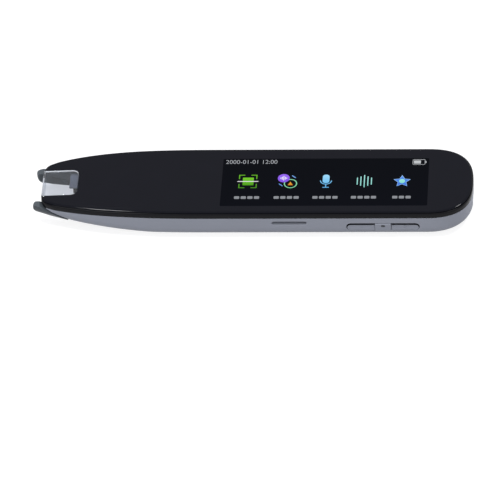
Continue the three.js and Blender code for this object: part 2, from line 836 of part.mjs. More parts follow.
// Side view of a foot: a small round on top, a long rise under the tip, and the slanted edge behind
function footProfile() {
  const aheadX = noseX - tipTravel - fitGap;
  const farX = noseX + bodyWidth;
  const round = Math.min(footTopRound, aheadX - tipX - restGap);
  const chinEndX = tipX + footChinLength;
  const whole = new THREE.Shape();
  whole.moveTo(farX, 0);
  whole.lineTo(farX, footTop);
  whole.absarc(tipX + round, footTop - round, round, quarterTurn, halfTurn);
  whole.absellipse(chinEndX, footLow + footChinHeight, footChinLength, footChinHeight,
    halfTurn, halfTurn + quarterTurn);
  whole.lineTo(chinEndX, 0);
  const ahead = block([tipX, aheadX], [-bodyWidth, bodyWidth], [0, footTop]);
  const under = ahead.add(belowGuardEdge(guardGap, tipTravel + fitGap));
  return crossPrism(whole, [-bodyWidth, bodyWidth]).intersect(under);
}

// Coil spring that pushes the fork forward
function tipSpring() {
  const turns = springTurnCount;
  const start = forkTailX + fitGap + springWire / 2;
  const rise = springLength - springWire;
  const steps = springTurnCount * springStepCount;
  const points = [];
  for (let i = 0; i <= steps; i += 1) {
    const angle = 2 * Math.PI * turns * i / steps;
    const radius = springRadius - springWire / 2;
    points.push(new THREE.Vector3(start + rise * i / steps,
      springOut + radius * Math.cos(angle), springHeight + radius * Math.sin(angle)));
  }
  const path = new THREE.CatmullRomCurve3(points);
  return solid(tube(path, springWire / 2, steps, springSideCount));
}

// Round bar along a path, closed at both ends
function tube(path, radius, steps, sideCount) {
  const section = new THREE.Shape();
  for (let i = 0; i < sideCount; i += 1) {
    const angle = 2 * Math.PI * i / sideCount;
    const x = radius * Math.cos(angle);
    const y = radius * Math.sin(angle);
    if (i === 0) section.moveTo(x, y);
    else section.lineTo(x, y);
  }
  section.closePath();
  return new THREE.ExtrudeGeometry(section, { steps, extrudePath: path, bevelEnabled: false });
}

// Switch behind the bar of the fork
const switchX = forkTailX + tipTravel + restGap + switchPlunger;
const switchLow = forkBarLow - (switchHeight - forkBarHeight) / 2;
const springHeight = forkBarLow + forkBarHeight / 2 + springWire;

function tipSwitch() {
  const body = block([switchX, switchX + switchLength], [-switchWidth / 2, switchWidth / 2],
    [switchLow, switchLow + switchHeight]);
  const plunger = block([switchX - switchPlunger, switchX + switchPlunger],
    [-switchWidth / 6, switchWidth / 6], [switchLow + switchHeight / 4, switchLow + switchHeight * 3 / 4]);
  return body.add(plunger);
}

// Upright plate at the back of the nose that carries the camera and the light blocks
function cameraBracket() {
  const low = undersideAt(bracketX) + floorThickness + restGap;
  const high = webLow - dropAt(bracketX) - fitGap;
  const shape = roundedRectangle(high - low, bracketHalf * 2, panelCorner);
  const geometry = extruded(shape, bracketThickness).rotateY(quarterTurn);
  const plate = solid(geometry.translate(bracketX, 0, (high + low) / 2));
  const hole = lengthways(barrelRadius + fitGap, [bracketX - overrun, cameraFrontX], 0, cameraHeight,
    barrelSideCount);
  const shelf = block([bracketX, bracketX + bracketThickness + fitGap + cameraLength],
    [bracketHalf - ribThickness - restGap, bracketHalf - restGap], [cameraLow, high - restGap]);
  return cut(plate, hole).add(bothSides(shelf));
}

function cameraModule() {
  const half = cameraHeight - cameraLow;
  return block([cameraFrontX, cameraBackX], [-half, half], [cameraLow, cameraHigh]);
}

// Board across the back of the camera, between the shelves of the bracket
function cameraBoard() {
  const x = cameraBackX + restGap;
  const half = bracketHalf - ribThickness - fitGap;
  return block([x, x + cameraBoardThickness], [-half, half], [cameraLow, cameraHigh]);
}

// Barrel with a stepped bore, screwed to the front of the camera
function lensBarrel() {
  const front = cameraFrontX - restGap - barrelLength;
  const back = cameraFrontX - restGap;
  const outer = lengthways(barrelRadius, [front, back], 0, cameraHeight, barrelSideCount);
  const bore = lengthways(barrelRadius - barrelWall, [front - overrun, back - lensThickness * 2], 0,
    cameraHeight, barrelSideCount);
  return cut(outer, bore);
}

// Lens with a domed front, lying in the bore of the barrel
function lensGlass() {
  const radius = barrelRadius - barrelWall - restGap;
  const back = cameraFrontX - restGap * 2 - lensThickness * 2;
  const profile = [new THREE.Vector2(0, 0), new THREE.Vector2(radius, 0)];
  for (let i = 0; i < curveSegmentCount; i += 1) {
    const share = i / curveSegmentCount;
    const dome = lensBulge * (1 - (1 - share) ** 2);
    profile.push(new THREE.Vector2(radius * (1 - share), lensThickness + dome));
  }
  profile.push(new THREE.Vector2(0, lensThickness + lensBulge));
  const lens = new THREE.LatheGeometry(profile, barrelSideCount);
  return solid(lens.rotateZ(quarterTurn).translate(back, 0, cameraHeight));
}

function lightBlock() {
  const back = bracketX - restGap;
  const outer = notchHalf - lightClear;
  const top = ledgeLow - lightBelowLedge;
  return block([back - lightLength, back], [outer - lightWidth, outer], [top - lightHeight, top]);
}

// Ring of tape between the cover sheet and the display panel
function displayTape() {
  const levels = [tapeTop - tapeThickness, tapeTop];
  const outer = flatPlate([panelX, 0], panelLength, panelWidth, panelCorner, levels);
  const inner = flatPlate([panelX, 0], panelLength - tapeWidth * 2, panelWidth - tapeWidth * 2,
    panelCorner / 2, [levels[0] - overrun, levels[1] + overrun]);
  return cut(outer, inner);
}

function displayPanel() {
  return flatPlate([panelX, 0], panelLength, panelWidth, panelCorner,
    [panelTop - panelThickness, panelTop]);
}

// Backlight with a stiffening tray pressed into its underside
function backlightUnit() {
  const outer = flatPlate([panelX, 0], panelLength, panelWidth, panelCorner, [backlightLow, backlightTop]);
  const tray = flatPlate([panelX, 0], panelLength - backlightRim * 2, panelWidth - backlightRim * 2,
    panelCorner / 2, [backlightLow - overrun, backlightLow + backlightLip]);
  return cut(outer, tray);
}

// Flat cable from the panel's nose end down to the board
function displayFlex() {
  const edge = panelNoseX - restGap;
  const half = flexWidth / 2;
  const top = panelTop - panelThickness / 2;
  const side = block([edge - flexThickness, edge], [-half, half], [boardTop + restGap, top]);
  const foot = block([edge - flexReach, edge - flexThickness / 2], [-half, half],
    [boardTop + restGap, boardTop + restGap + flexThickness]);
  return side.add(foot);
}

// Main board, with notches beside the screw bosses and the snout of the loudspeaker
function mainBoard() {
  const middle = (boardTailX + boardNoseX) / 2;
  const board = flatPlate([middle, 0], boardTailX - boardNoseX, bodyWidth - boardSide * 2, boardCorner,
    [boardUnderside, boardTop]);
  const notches = Object.values(screwPlaces).map((place) =>
    upright(bossRadius + fitGap, place, [0, bodyThickness], bossSideCount));
  const snoutRoom = block([slotX - snoutHalf - fitGap, slotX + snoutHalf + fitGap],
    [-bodyWidth, snoutBackY + fitGap], [0, bodyThickness]);
  return cut(board, ...notches, snoutRoom);
}

// Pressed can over the processor, open towards the board
const shieldX = speakerTailX + shieldToSpeaker + shieldLength / 2;
const memoryX = shieldX + shieldLength / 2 + memoryToShield + memoryLength / 2;

function shieldCan() {
  const outer = flatPlate([shieldX, 0], shieldLength, shieldWidth, panelCorner,
    [underBoard - shieldHeight, underBoard]);
  const inner = flatPlate([shieldX, 0], shieldLength - shieldSheet * 2, shieldWidth - shieldSheet * 2,
    panelCorner / 2, [underBoard - shieldHeight + shieldSheet, underBoard + overrun]);
  return cut(outer, inner);
}

function chip([x, y], length, width, height) {
  return block([x - length / 2, x + length / 2], [y - width / 2, y + width / 2],
    [underBoard - height, underBoard]);
}

// Battery pouch: an end view with round sides, and its folded edge at the lead end
function battery() {
  const shape = roundedRectangle(batteryThickness, batteryWidth, batteryRound);
  const geometry = extruded(shape, batteryLength).rotateY(quarterTurn);
  return solid(geometry.translate(batteryNoseX, 0, batteryLow + batteryThickness / 2));
}

// Leads run from the pouch to the plug under the board
const plugX = batteryTailX + leadRun;
const plugLow = underBoard - plugHeight;

function batteryLead(side) {
  const y = side * leadSpread / 2;
  const start = batteryLow + batteryThickness / 2 + leadRise;
  const end = plugLow + plugHeight / 2;
  const run = plugX - batteryTailX - restGap * 2;
  const from = batteryTailX + restGap;
  const shares = [0, 1 / 4, 1 / 2, 3 / 4, 1];
  const points = shares.map((share) => new THREE.Vector3(from + run * share, y,
    THREE.MathUtils.lerp(start, end, THREE.MathUtils.smoothstep(share, 0, 1))));
  return solid(tube(new THREE.CatmullRomCurve3(points), leadRadius, leadStepCount, leadSideCount));
}

function batteryPlug() {
  return block([plugX, plugX + plugLength], [-plugWidth / 2, plugWidth / 2], [plugLow, underBoard]);
}

function batteryHeader() {
  const x = plugX + plugLength + restGap;
  return block([x, x + headerLength], [-plugWidth / 2, plugWidth / 2], [plugLow, underBoard]);
}

// Loudspeaker box with a snout behind the slot
function loudspeaker() {
  const box = flatPlate([slotX, speakerBoxY + speakerDepth / 2], speakerLength, speakerDepth, speakerCorner,
    [floorThickness + speakerLift, boardUnderside - speakerClear]);
  const snout = block([slotX - snoutHalf, slotX + snoutHalf], [snoutY, snoutBackY],
    [slotMiddle - speakerSnoutHeight / 2, slotMiddle + speakerSnoutHeight / 2]);
  const port = block([slotX - slotWidth / 2, slotX + slotWidth / 2],
    [snoutY - overrun, snoutY + speakerPortDepth],
    [slotMiddle - slotHeight / 2, slotMiddle + slotHeight / 2]);
  return cut(joined(box, snout), port);
}

function speakerMesh() {
  const shape = roundedRectangle(slotWidth + meshRim * 2, slotHeight + meshRim, slotHeight / 2);
  const geometry = extruded(shape, meshThickness).rotateX(quarterTurn);
  return solid(geometry.translate(slotX, meshY + meshThickness, slotMiddle));
}

const micOut = socketWidth / 2 + micToSocket + micWidth / 2;

function microphone() {
  const x = boardTailX - micLength;
  return block([x, x + micLength], [micOut - micWidth / 2, micOut + micWidth / 2],
    [underBoard - micHeight, underBoard]);
}

// Socket: a pressed shell, open at the mouth, round a tongue on its block
function socketShell() {
  const back = socketMouthX - socketLength;
  const outer = socketPrism(0, [back, socketMouthX]);
  const inner = socketPrism(-socketSheet, [back - overrun, socketMouthX + overrun]);
  return cut(outer, inner);
}

function socketTongue() {
  const back = socketMouthX - socketLength;
  const rear = socketPrism(-socketSheet - restGap / 2, [back, back + tongueBlock]);
  const half = tongueWidth / 2;
  const tongue = block([back + tongueBlock / 2, back + tongueBlock + tongueLength], [-half, half],
    [socketZ - tongueThickness / 2, socketZ + tongueThickness / 2]);
  return rear.add(tongue);
}

// Key cap with a flange inside the wall
function sideKey(key) {
  const outerY = -halfWidth - key.proud;
  const cap = extruded(roundedRectangle(key.length, keyHeight, key.corner), keyFlangeY - outerY + restGap);
  const flangeLength = key.length - keyGap * 2;
  const flange = extruded(roundedRectangle(flangeLength, keyHeight + keyFlangeLip * 2, keyGap), keyFlange);
  const capBody = solid(cap.rotateX(quarterTurn).translate(key.x, keyFlangeY + restGap, keyMiddle));
  return capBody.add(solid(flange.rotateX(quarterTurn).translate(key.x, keyBackY, keyMiddle)));
}

// Small push switch in front of the key board
function keySwitch(key) {
  const bodyY = keySwitchY + keySwitchButton;
  const body = block([key.x - keySwitchLength / 2, key.x + keySwitchLength / 2],
    [bodyY, bodyY + keySwitchDepth], [keyMiddle - keySwitchHeight / 2, keyMiddle + keySwitchHeight / 2]);
  const button = block([key.x - keySwitchLength / 4, key.x + keySwitchLength / 4],
    [keySwitchY, bodyY + restGap], [keyMiddle - keySwitchHeight / 4, keyMiddle + keySwitchHeight / 4]);
  return body.add(button);
}

function keyBoard() {
  const half = keyRowLength / 2 + keyBoardOverhang;
  return block([keysX - half, keysX + half], [keyBoardY, keyBoardY + keyBoardThickness],
    [keyMiddle - keyBoardDrop, boardUnderside - keyBoardClear]);
}

// Countersunk screw with a straight slot, head down
function screw([x, y]) {
  const profile = [
    [0, screwHeadLow], [screwHeadRadius, screwHeadLow],
    [screwHeadRadius, screwHeadLow + screwHeadHeight / 4], [screwRadius, screwSeat],
    [screwRadius, screwTop - screwRadius], [screwRadius / 2, screwTop], [0, screwTop],
  ];
  const turned = new THREE.LatheGeometry(profile.map(([r, z]) => new THREE.Vector2(r, z)), screwSideCount);
  const body = solid(turned.rotateX(quarterTurn).translate(x, y, 0));
  const slot = block([x - screwHeadRadius - overrun, x + screwHeadRadius + overrun],
    [y - screwSlotWidth / 2, y + screwSlotWidth / 2],
    [screwHeadLow - overrun, screwHeadLow + screwSlotDepth]);
  return cut(body, slot);
}

const pen = new THREE.Group();
pen.name = 'scanning_pen';

// Adds one named piece with its own finish
function piece(name, body, finish) {
  const [color, roughness, metalness, opacity = 1] = finish;
  const material = new THREE.MeshStandardMaterial({ color, roughness, metalness });
  material.opacity = opacity;
  material.transparent = opacity < 1;
  const mesh = new THREE.Mesh(geometryOf(body), material);
  mesh.name = name;
  pen.add(mesh);
}

// Finishes: colour, roughness, metalness and, for clear ones, opacity
const satinGrey = ['#82868f', 0.42, 0.35];
const glossBlack = ['#222327', 0.12, 0];
const clearPlastic = ['#d7dde4', 0.08, 0, 0.35];
const smokedPlastic = ['#454c50', 0.3, 0];
const blackPlastic = ['#1b1c1f', 0.55, 0];
const bluePlastic = ['#757b85', 0.5, 0];
const steel = ['#b9bcc2', 0.3, 1];
const circuitBoard = ['#1f5a3a', 0.5, 0];
const chipPackage = ['#26272b', 0.6, 0];
const whitePlastic = ['#e6e6e1', 0.5, 0];
const redCover = ['#b3261e', 0.5, 0];
const pouchFoil = ['#c9ccd1', 0.35, 0.6];
const polyimide = ['#b8742a', 0.4, 0];

piece('lower_housing', lowerHousing(), satinGrey);
piece('upper_frame', upperFrame(), glossBlack);
piece('cover_glass', coverGlass(), glossBlack);
piece('nose_window', noseWindow(), clearPlastic);
piece('tip_fork', tipFork(), smokedPlastic);
piece('tip_spring_left', tipSpring(), steel);
piece('tip_spring_right', otherSide(tipSpring()), steel);
piece('tip_switch', tipSwitch(), blackPlastic);
piece('camera_bracket', cameraBracket(), bluePlastic);
piece('camera_module', cameraModule(), blackPlastic);
piece('camera_board', cameraBoard(), circuitBoard);
piece('lens_barrel', lensBarrel(), blackPlastic);
piece('lens_glass', lensGlass(), clearPlastic);
piece('light_block_left', lightBlock(), bluePlastic);
piece('light_block_right', otherSide(lightBlock()), bluePlastic);
piece('display_tape', displayTape(), blackPlastic);
piece('display_panel', displayPanel(), glossBlack);
piece('backlight_unit', backlightUnit(), whitePlastic);
piece('display_flex', displayFlex(), polyimide);
piece('main_board', mainBoard(), circuitBoard);
piece('shield_can', shieldCan(), steel);
piece('processor_chip', chip([shieldX, 0], processorSize, processorSize, processorHeight), chipPackage);
piece('memory_chip', chip([memoryX, 0], memoryLength, memoryWidth, memoryHeight), chipPackage);
piece('microphone', microphone(), steel);
piece('battery', battery(), pouchFoil);
piece('battery_lead_red', batteryLead(1), redCover);
piece('battery_lead_black', batteryLead(-1), blackPlastic);
piece('battery_plug', batteryPlug(), whitePlastic);
piece('battery_header', batteryHeader(), whitePlastic);
piece('loudspeaker', loudspeaker(), blackPlastic);
piece('speaker_mesh', speakerMesh(), steel);
piece('socket_shell', socketShell(), steel);
piece('socket_tongue', socketTongue(), blackPlastic);
keys.forEach((key) => piece(key.name, sideKey(key), satinGrey));
keys.forEach((key) => piece(`${key.name}_switch`, keySwitch(key), steel));
piece('key_board', keyBoard(), circuitBoard);
Object.entries(screwPlaces).forEach(([name, place]) => piece(name, screw(place), steel));

export default pen;
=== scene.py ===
"""Looks of a hand-held reading pen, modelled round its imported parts.

Sizes are written in millimetres, and each point is turned to metres as it is made.
"""

from __future__ import annotations

import logging
import math
from contextlib import contextmanager
from dataclasses import dataclass
from enum import Enum
from functools import cache
from typing import Callable, Iterator, Sequence

import bpy
import numpy as np
from mathutils import Matrix, Vector


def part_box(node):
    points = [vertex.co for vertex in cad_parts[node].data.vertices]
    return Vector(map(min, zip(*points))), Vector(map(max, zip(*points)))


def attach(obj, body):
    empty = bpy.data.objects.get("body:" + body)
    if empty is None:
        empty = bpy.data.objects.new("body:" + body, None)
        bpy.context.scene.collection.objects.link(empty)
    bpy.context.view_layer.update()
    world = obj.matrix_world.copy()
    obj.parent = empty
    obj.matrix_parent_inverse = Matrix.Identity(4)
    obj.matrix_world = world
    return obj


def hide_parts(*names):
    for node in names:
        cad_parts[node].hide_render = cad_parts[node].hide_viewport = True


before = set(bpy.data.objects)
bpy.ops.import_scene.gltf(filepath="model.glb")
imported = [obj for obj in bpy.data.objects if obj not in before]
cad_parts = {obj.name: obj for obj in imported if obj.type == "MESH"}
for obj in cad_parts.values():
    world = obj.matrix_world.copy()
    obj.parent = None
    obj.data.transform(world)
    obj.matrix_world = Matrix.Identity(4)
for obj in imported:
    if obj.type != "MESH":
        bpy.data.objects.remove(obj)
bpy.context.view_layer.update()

MM = 0.001
PEN = "pen_body"
SMOOTH_DEGREES = 32.0
MERGE_DISTANCE = 0.001
BLOTCH_SIZE = 9
log = logging.getLogger("pen")

Piece = bpy.types.Object
Socket = bpy.types.NodeSocket
Point = Sequence[float]
Pairs = Sequence[tuple[float, float]]
Inputs = dict[str | int, object]
Heights = Callable[[np.ndarray], np.ndarray]


class Slot(Enum):
    """Material slots of the record."""

    CASING_GREY = "casing_grey"
    CASING_BLACK = "casing_black"
    COVER_SHEET = "cover_sheet"
    CLEAR_WINDOW = "clear_window"
    SMOKED_GUARD = "smoked_guard"
    STEEL = "steel"
    BLACK_PLASTIC = "black_plastic"
    BLUE_PLASTIC = "blue_plastic"
    LENS = "lens"
    DISPLAY = "display"


class Axis(Enum):
    """Direction that a body is drawn along."""

    X = 0
    Y = 1
    Z = 2


class Pattern(Enum):
    """Kinds of fine surface pattern that a finish may have."""

    GRAIN = "grain"
    BRUSHED = "brushed"
    WRINKLED = "wrinkled"
    TRACED = "traced"


class Ends(Enum):
    """Ways to close the two ends of a body drawn through rings."""

    FACE = "face"
    STRIPS = "strips"
    JOINED = "joined"


# ---------------------------------------------------------------- materials


def linear(code: str) -> tuple[float, float, float, float]:
    """Turns an sRGB hex colour into a linear one.

    Args:
        code: Colour as "#RRGGBB".

    Returns:
        Red, green, blue and alpha for a colour socket.
    """
    shares = [int(code[i : i + 2], 16) / 255 for i in (1, 3, 5)]
    red, green, blue = (s / 12.92 if s <= 0.04045 else ((s + 0.055) / 1.055) ** 2.4 for s in shares)
    return red, green, blue, 1.0


class Recipe:
    """The node tree of a material or of the world while it is being put together."""

    def __init__(self, owner: bpy.types.Material | bpy.types.World) -> None:
        """Turns on the nodes of the owner.

        Args:
            owner: Material or world that the nodes belong to.
        """
        self.owner = owner
        owner.use_nodes = True
        self.tree = owner.node_tree

    def add(
        self, kind: str, output: str | int, inputs: Inputs | None = None, **settings: object
    ) -> Socket:
        """Adds a node.

        Args:
            kind: Type of the node, without its common beginning.
            output: Output socket that is wanted.
            inputs: Values or output sockets for its input sockets.
            settings: Properties of the node.

        Returns:
            The wanted output socket.
        """
        node = self.tree.nodes.new("ShaderNode" + kind)
        for key, value in settings.items():
            setattr(node, key, value)
        self.feed(node, inputs or {})
        return node.outputs[output]

    def feed(self, node: bpy.types.Node, inputs: Inputs) -> None:
        """Sets or links a node's input sockets.

        Args:
            node: Node to feed.
            inputs: Values or output sockets for its input sockets.
        """
        for key, value in inputs.items():
            if isinstance(value, Socket):
                self.tree.links.new(value, node.inputs[key])
            else:
                node.inputs[key].default_value = value

    def blend(self, share: Socket, first: str, second: str) -> Socket:
        """Mixes two hex colours by a share and returns the socket with the mix."""
        colours = {0: share, 6: linear(first), 7: linear(second)}
        return self.add("Mix", 2, colours, data_type="RGBA")

    def shade(self, inputs: Inputs) -> bpy.types.Material:
        """Feeds the material's usual shader and returns the finished material."""
        self.feed(self.tree.nodes["Principled BSDF"], inputs)
        return self.owner

    def white_rays(self) -> Socket:
        """Tells the rays that show the background: to the eye, in gloss and in glass.

        Returns:
            Socket with 1 for those rays and 0 for the others.
        """
        seen = self.add("LightPath", "Is Camera Ray")
        for kind in ("Is Transmission Ray", "Is Glossy Ray"):
            both = {0: seen, 1: self.add("LightPath", kind)}
            seen = self.add("Math", 0, both, operation="MAXIMUM")
        return seen


@dataclass(frozen=True)
class Finish:
    """A surface with a base colour, a fine pattern and a slight variation.

    The pattern's size is the width of one grain, stroke, crease or track.
    """

    name: str
    colour: str
    second: str
    roughness: float
    pattern_size: float
    pattern: Pattern = Pattern.GRAIN
    relief: float = 0.15
    relief_depth: float = 0.01
    unevenness: float = 0.06
    metallic: float = 0.0
    ior: float = 1.5
    specular: float = 0.5
    coat: float = 0.0
    coat_roughness: float = 0.1
    transmission: float = 0.0
    stretch: tuple[float, float, float] = (1.0, 1.0, 1.0)

    @cache
    def make(self) -> bpy.types.Material:
        """Makes the finished material, which is made once.

        Returns:
            The material.
        """
        recipe = Recipe(bpy.data.materials.new(self.name))
        place = recipe.add("TexCoord", "Object")
        turned = recipe.add("Mapping", "Vector", {"Vector": place, "Scale": self.stretch})
        fine = self.fine_pattern(recipe, turned)
        blotches = {"Vector": place, "Scale": 1 / (BLOTCH_SIZE * MM), "Detail": 3.0}
        broad = recipe.add("TexNoise", "Fac", blotches)
        share = recipe.add("Math", 0, {0: fine, 1: broad}, operation="MULTIPLY")
        spread = {
            "Value": broad,
            "From Min": 0.3,
            "From Max": 0.7,
            "To Min": max(0.0, self.roughness - self.unevenness),
            "To Max": min(1.0, self.roughness + self.unevenness),
        }
        raised = {"Height": fine, "Strength": self.relief, "Distance": self.relief_depth * MM}
        return recipe.shade(
            {
                "Base Color": recipe.blend(share, self.colour, self.second),
                "Roughness": recipe.add("MapRange", "Result", spread),
                "Normal": recipe.add("Bump", "Normal", raised),
                "Metallic": self.metallic,
                "IOR": self.ior,
                "Specular IOR Level": self.specular,
                "Coat Weight": self.coat,
                "Coat Roughness": self.coat_roughness,
                "Transmission Weight": self.transmission,
            }
        )

    def fine_pattern(self, recipe: Recipe, place: Socket) -> Socket:
        """Adds the finish's fine pattern.

        Args:
            recipe: Node tree that it goes into.
            place: Socket with the place on the object.

        Returns:
            Socket with the pattern, from 0 to 1.
        """
        scale = 1 / (self.pattern_size * MM)
        if self.pattern is Pattern.TRACED:
            tracks = {
                "Vector": place,
                "Color1": (1, 1, 1, 1),
                "Color2": (0.75, 0.75, 0.75, 1),
                "Mortar": (0, 0, 0, 1),
                "Scale": scale / 4,
                "Mortar Size": 0.04,
                "Row Height": 0.18,
                "Brick Width": 0.7,
            }
            rows = {"offset": 0.35, "offset_frequency": 3, "squash": 0.6}
            return recipe.add("TexBrick", "Color", tracks, **rows)
        grain = {"Vector": place, "Scale": scale}
        if self.pattern is Pattern.WRINKLED:
            creases = grain | {"Smoothness": 0.8}
            return recipe.add("TexVoronoi", "Distance", creases, feature="SMOOTH_F1")
        detail = 1.0 if self.pattern is Pattern.BRUSHED else 4.0
        return recipe.add("TexNoise", "Fac", grain | {"Detail": detail})


@dataclass(frozen=True)
class ClearMoulding:
    """Clear polycarbonate: a faint grey tint and haze, polished, barely wavy."""

    name: str = "polycarbonate_clear_polished"
    colour: str = "#CACED6"
    roughness: float = 0.02
    ior: float = 1.3
    clearness: float = 0.98
    wave_size: float = 14.0
    wave_depth: float = 0.02

    def make(self) -> bpy.types.Material:
        """Makes the finished material.

        Returns:
            The material.
        """
        recipe = Recipe(bpy.data.materials.new(self.name))
        place = recipe.add("TexCoord", "Object")
        swell = {"Vector": place, "Scale": 1 / (self.wave_size * MM), "Detail": 2.0}
        wave = recipe.add("TexNoise", "Fac", swell)
        spread = {"Value": wave, "To Min": self.roughness / 2, "To Max": self.roughness * 2}
        raised = {"Height": wave, "Strength": 0.1, "Distance": self.wave_depth * MM}
        return recipe.shade(
            {
                "Base Color": linear(self.colour),
                "Roughness": recipe.add("MapRange", "Result", spread),
                "Normal": recipe.add("Bump", "Normal", raised),
                "IOR": self.ior,
                "Transmission Weight": self.clearness,
            }
        )


@dataclass(frozen=True)
class LitGraphic:
    """A lit part of the screen picture under the gloss of the cover sheet.

    The colour runs from the lower to the upper value across the height given.
    """

    name: str
    lower: str
    upper: str
    low_y: float
    high_y: float
    unlit: str = "#020203"
    roughness: float = 0.12
    specular: float = 0.02

    def make(self) -> bpy.types.Material:
        """Makes the finished material.

        Returns:
            The material.
        """
        recipe = Recipe(bpy.data.materials.new(self.name))
        place = recipe.add("TexCoord", "Object")
        across = recipe.add("SeparateXYZ", "Y", {"Vector": place})
        span = {"Value": across, "From Min": self.low_y * MM, "From Max": self.high_y * MM}
        share = recipe.add("MapRange", "Result", span)
        return recipe.shade(
            {
                "Base Color": linear(self.unlit),
                "Emission Color": recipe.blend(share, self.lower, self.upper),
                "Emission Strength": 1.0,
                "Roughness": self.roughness,
                "Specular IOR Level": self.specular,
            }
        )


@dataclass(frozen=True)
class PaleFloor:
    """A matt white sheet that stays white to the eye and keeps the soft shadow."""

    name: str = "paper_white_matt"
    colour: str = "#8E8E90"
    lift: float = 0.82

    def make(self) -> bpy.types.Material:
        """Makes the finished material.

        Returns:
            The material.
        """
        recipe = Recipe(bpy.data.materials.new(self.name))
        lifted = {0: recipe.white_rays(), 1: self.lift}
        return recipe.shade(
            {
                "Base Color": linear(self.colour),
                "Roughness": 0.9,
                "Specular IOR Level": 0.0,
                "Emission Color": (1, 1, 1, 1),
                "Emission Strength": recipe.add("Math", 0, lifted, operation="MULTIPLY"),
            }
        )


Look = Finish | ClearMoulding | LitGraphic

# Spray-painted ABS: a fine orange peel that breaks the highlight up a little
PAINTED_SHELL = Finish(
    "abs_sprayed_satin_grey", "#9195A1", "#999DA9", 0.42, 0.25, relief=0.12,
    relief_depth=0.012, specular=0.15,
)
# The same paint on the small key caps, handled more, so a touch smoother
PAINTED_KEY = Finish(
    "abs_sprayed_satin_grey_keys", "#8D919D", "#969AA6", 0.36, 0.25, relief=0.1, specular=0.15,
)
# Gloss-moulded black ABS: near-mirror with faint flow waves
GLOSS_BAND = Finish(
    "abs_moulded_gloss_black", "#0B0B10", "#0E0E14", 0.12, 2.5, relief=0.06,
    relief_depth=0.02, unevenness=0.03, specular=0.12,
)
# Hard-coated acrylic with a black print under it and a low-reflection coat
PRINTED_COVER = Finish(
    "acrylic_hardcoated_black_print", "#0A0B13", "#0D0E17", 0.07, 6.0, relief=0.03,
    relief_depth=0.02, unevenness=0.02, ior=1.49, specular=0.09,
)
# Smoked slate ABS: dark, with a soft gloss that shows the round of the feet
SMOKED_ABS = Finish(
    "abs_smoked_slate", "#454A50", "#50565B", 0.3, 0.6, relief=0.08, specular=0.15,
)
# Spark-textured black ABS of inner mouldings
BLACK_ABS = Finish("abs_moulded_black_matt", "#17181A", "#26282B", 0.55, 0.2)
# Rubber-like dark dot of the middle key
DARK_DOT = Finish("tpe_dark_dot", "#2B2D33", "#34363D", 0.6, 0.15)
# Moulded slate-blue ABS of the camera holder and the light blocks
BLUE_ABS = Finish("abs_moulded_slate_blue", "#6C7484", "#7B8392", 0.42, 0.3)
# Slate ABS of the hood above the lens: a mid grey that shows through the window
HOOD_ABS = Finish("abs_moulded_pale_slate", "#707683", "#797F8C", 0.45, 0.3)
# Matt grey ABS of the nose's inner walls: seen through the window as slate
WALL_ABS = Finish("abs_moulded_grey_matt", "#3F454F", "#474D57", 0.5, 0.3)
# Dark ABS of the outer keys' cores, left unpainted; its dark also stands in as painted shade in the
# gap round the caps
KEY_CORE_GAP_SHADE = Finish("abs_dark_grey_painted_gap_shade", "#17181B", "#202125", 0.6, 0.2)
# Nickel-plated pressed steel: drawn strokes along the pen
PLATED_STEEL = Finish(
    "steel_nickel_plated", "#B9BBBE", "#CDCFD2", 0.28, 0.12, Pattern.BRUSHED,
    relief=0.12, metallic=1.0, stretch=(0.08, 1.0, 1.0),
)
# Black-oxide steel gauze behind the sound slot
DARK_GAUZE = Finish(
    "steel_gauze_black_oxide", "#55585E", "#6B6E75", 0.45, 0.1, Pattern.BRUSHED, metallic=0.7,
)
# Gold-plated contacts
GOLD_CONTACT = Finish(
    "copper_gold_plated", "#D9B25C", "#E8C878", 0.25, 0.1, Pattern.BRUSHED, metallic=1.0,
    stretch=(0.1, 1.0, 1.0),
)
# Green solder mask over copper tracks, which show as slightly raised lines
SOLDER_MASK = Finish(
    "glass_epoxy_green_mask", "#0F3D2A", "#1C5A3E", 0.32, 0.5, Pattern.TRACED,
    relief=0.3, relief_depth=0.03, coat=0.3,
)
# Moulded epoxy of chips: matt with a mineral fleck
CHIP_EPOXY = Finish("epoxy_chip_black", "#1B1C1E", "#35373A", 0.6, 0.12)
# Laminated battery pouch: dull foil with shallow creases
POUCH_LAMINATE = Finish(
    "aluminium_laminate_pouch", "#A7ABB0", "#BFC3C8", 0.38, 3.0, Pattern.WRINKLED,
    relief=0.35, relief_depth=0.08, metallic=0.85,
)
# Amber polyimide film of the display flex
POLYIMIDE_FILM = Finish(
    "polyimide_film_amber", "#8A4B12", "#A8641F", 0.3, 0.35, Pattern.TRACED, coat=0.4,
)
# White moulded nylon of the plug, and the white reflector of the backlight
WHITE_NYLON = Finish("nylon_moulded_white", "#E4E2DA", "#F1F0EA", 0.5, 0.25)
# PVC covers of the battery leads: a soft, even gloss
RED_PVC = Finish("pvc_extruded_red", "#B3221C", "#C93A30", 0.4, 0.4)
BLACK_PVC = Finish("pvc_extruded_black", "#1A1A1C", "#2A2A2E", 0.4, 0.4)
# Glass-fronted liquid crystal panel, dark while the picture is drawn above it
PANEL_GLASS = Finish("glass_panel_dark", "#0A0C12", "#10131B", 0.1, 4.0, ior=1.52, relief=0.02)
# Coated lens glass with a violet bloom
COATED_LENS = Finish(
    "glass_lens_coated", "#1B1830", "#2C2550", 0.05, 3.0, relief=0.01, ior=1.6,
    specular=0.8, coat=1.0, coat_roughness=0.03,
)
# Frosted white diffuser in front of each light
FROSTED_DIFFUSER = Finish(
    "polycarbonate_frosted", "#D9DEE6", "#EDF0F5", 0.5, 0.3, transmission=0.25,
)
CLEAR_WINDOW = ClearMoulding()

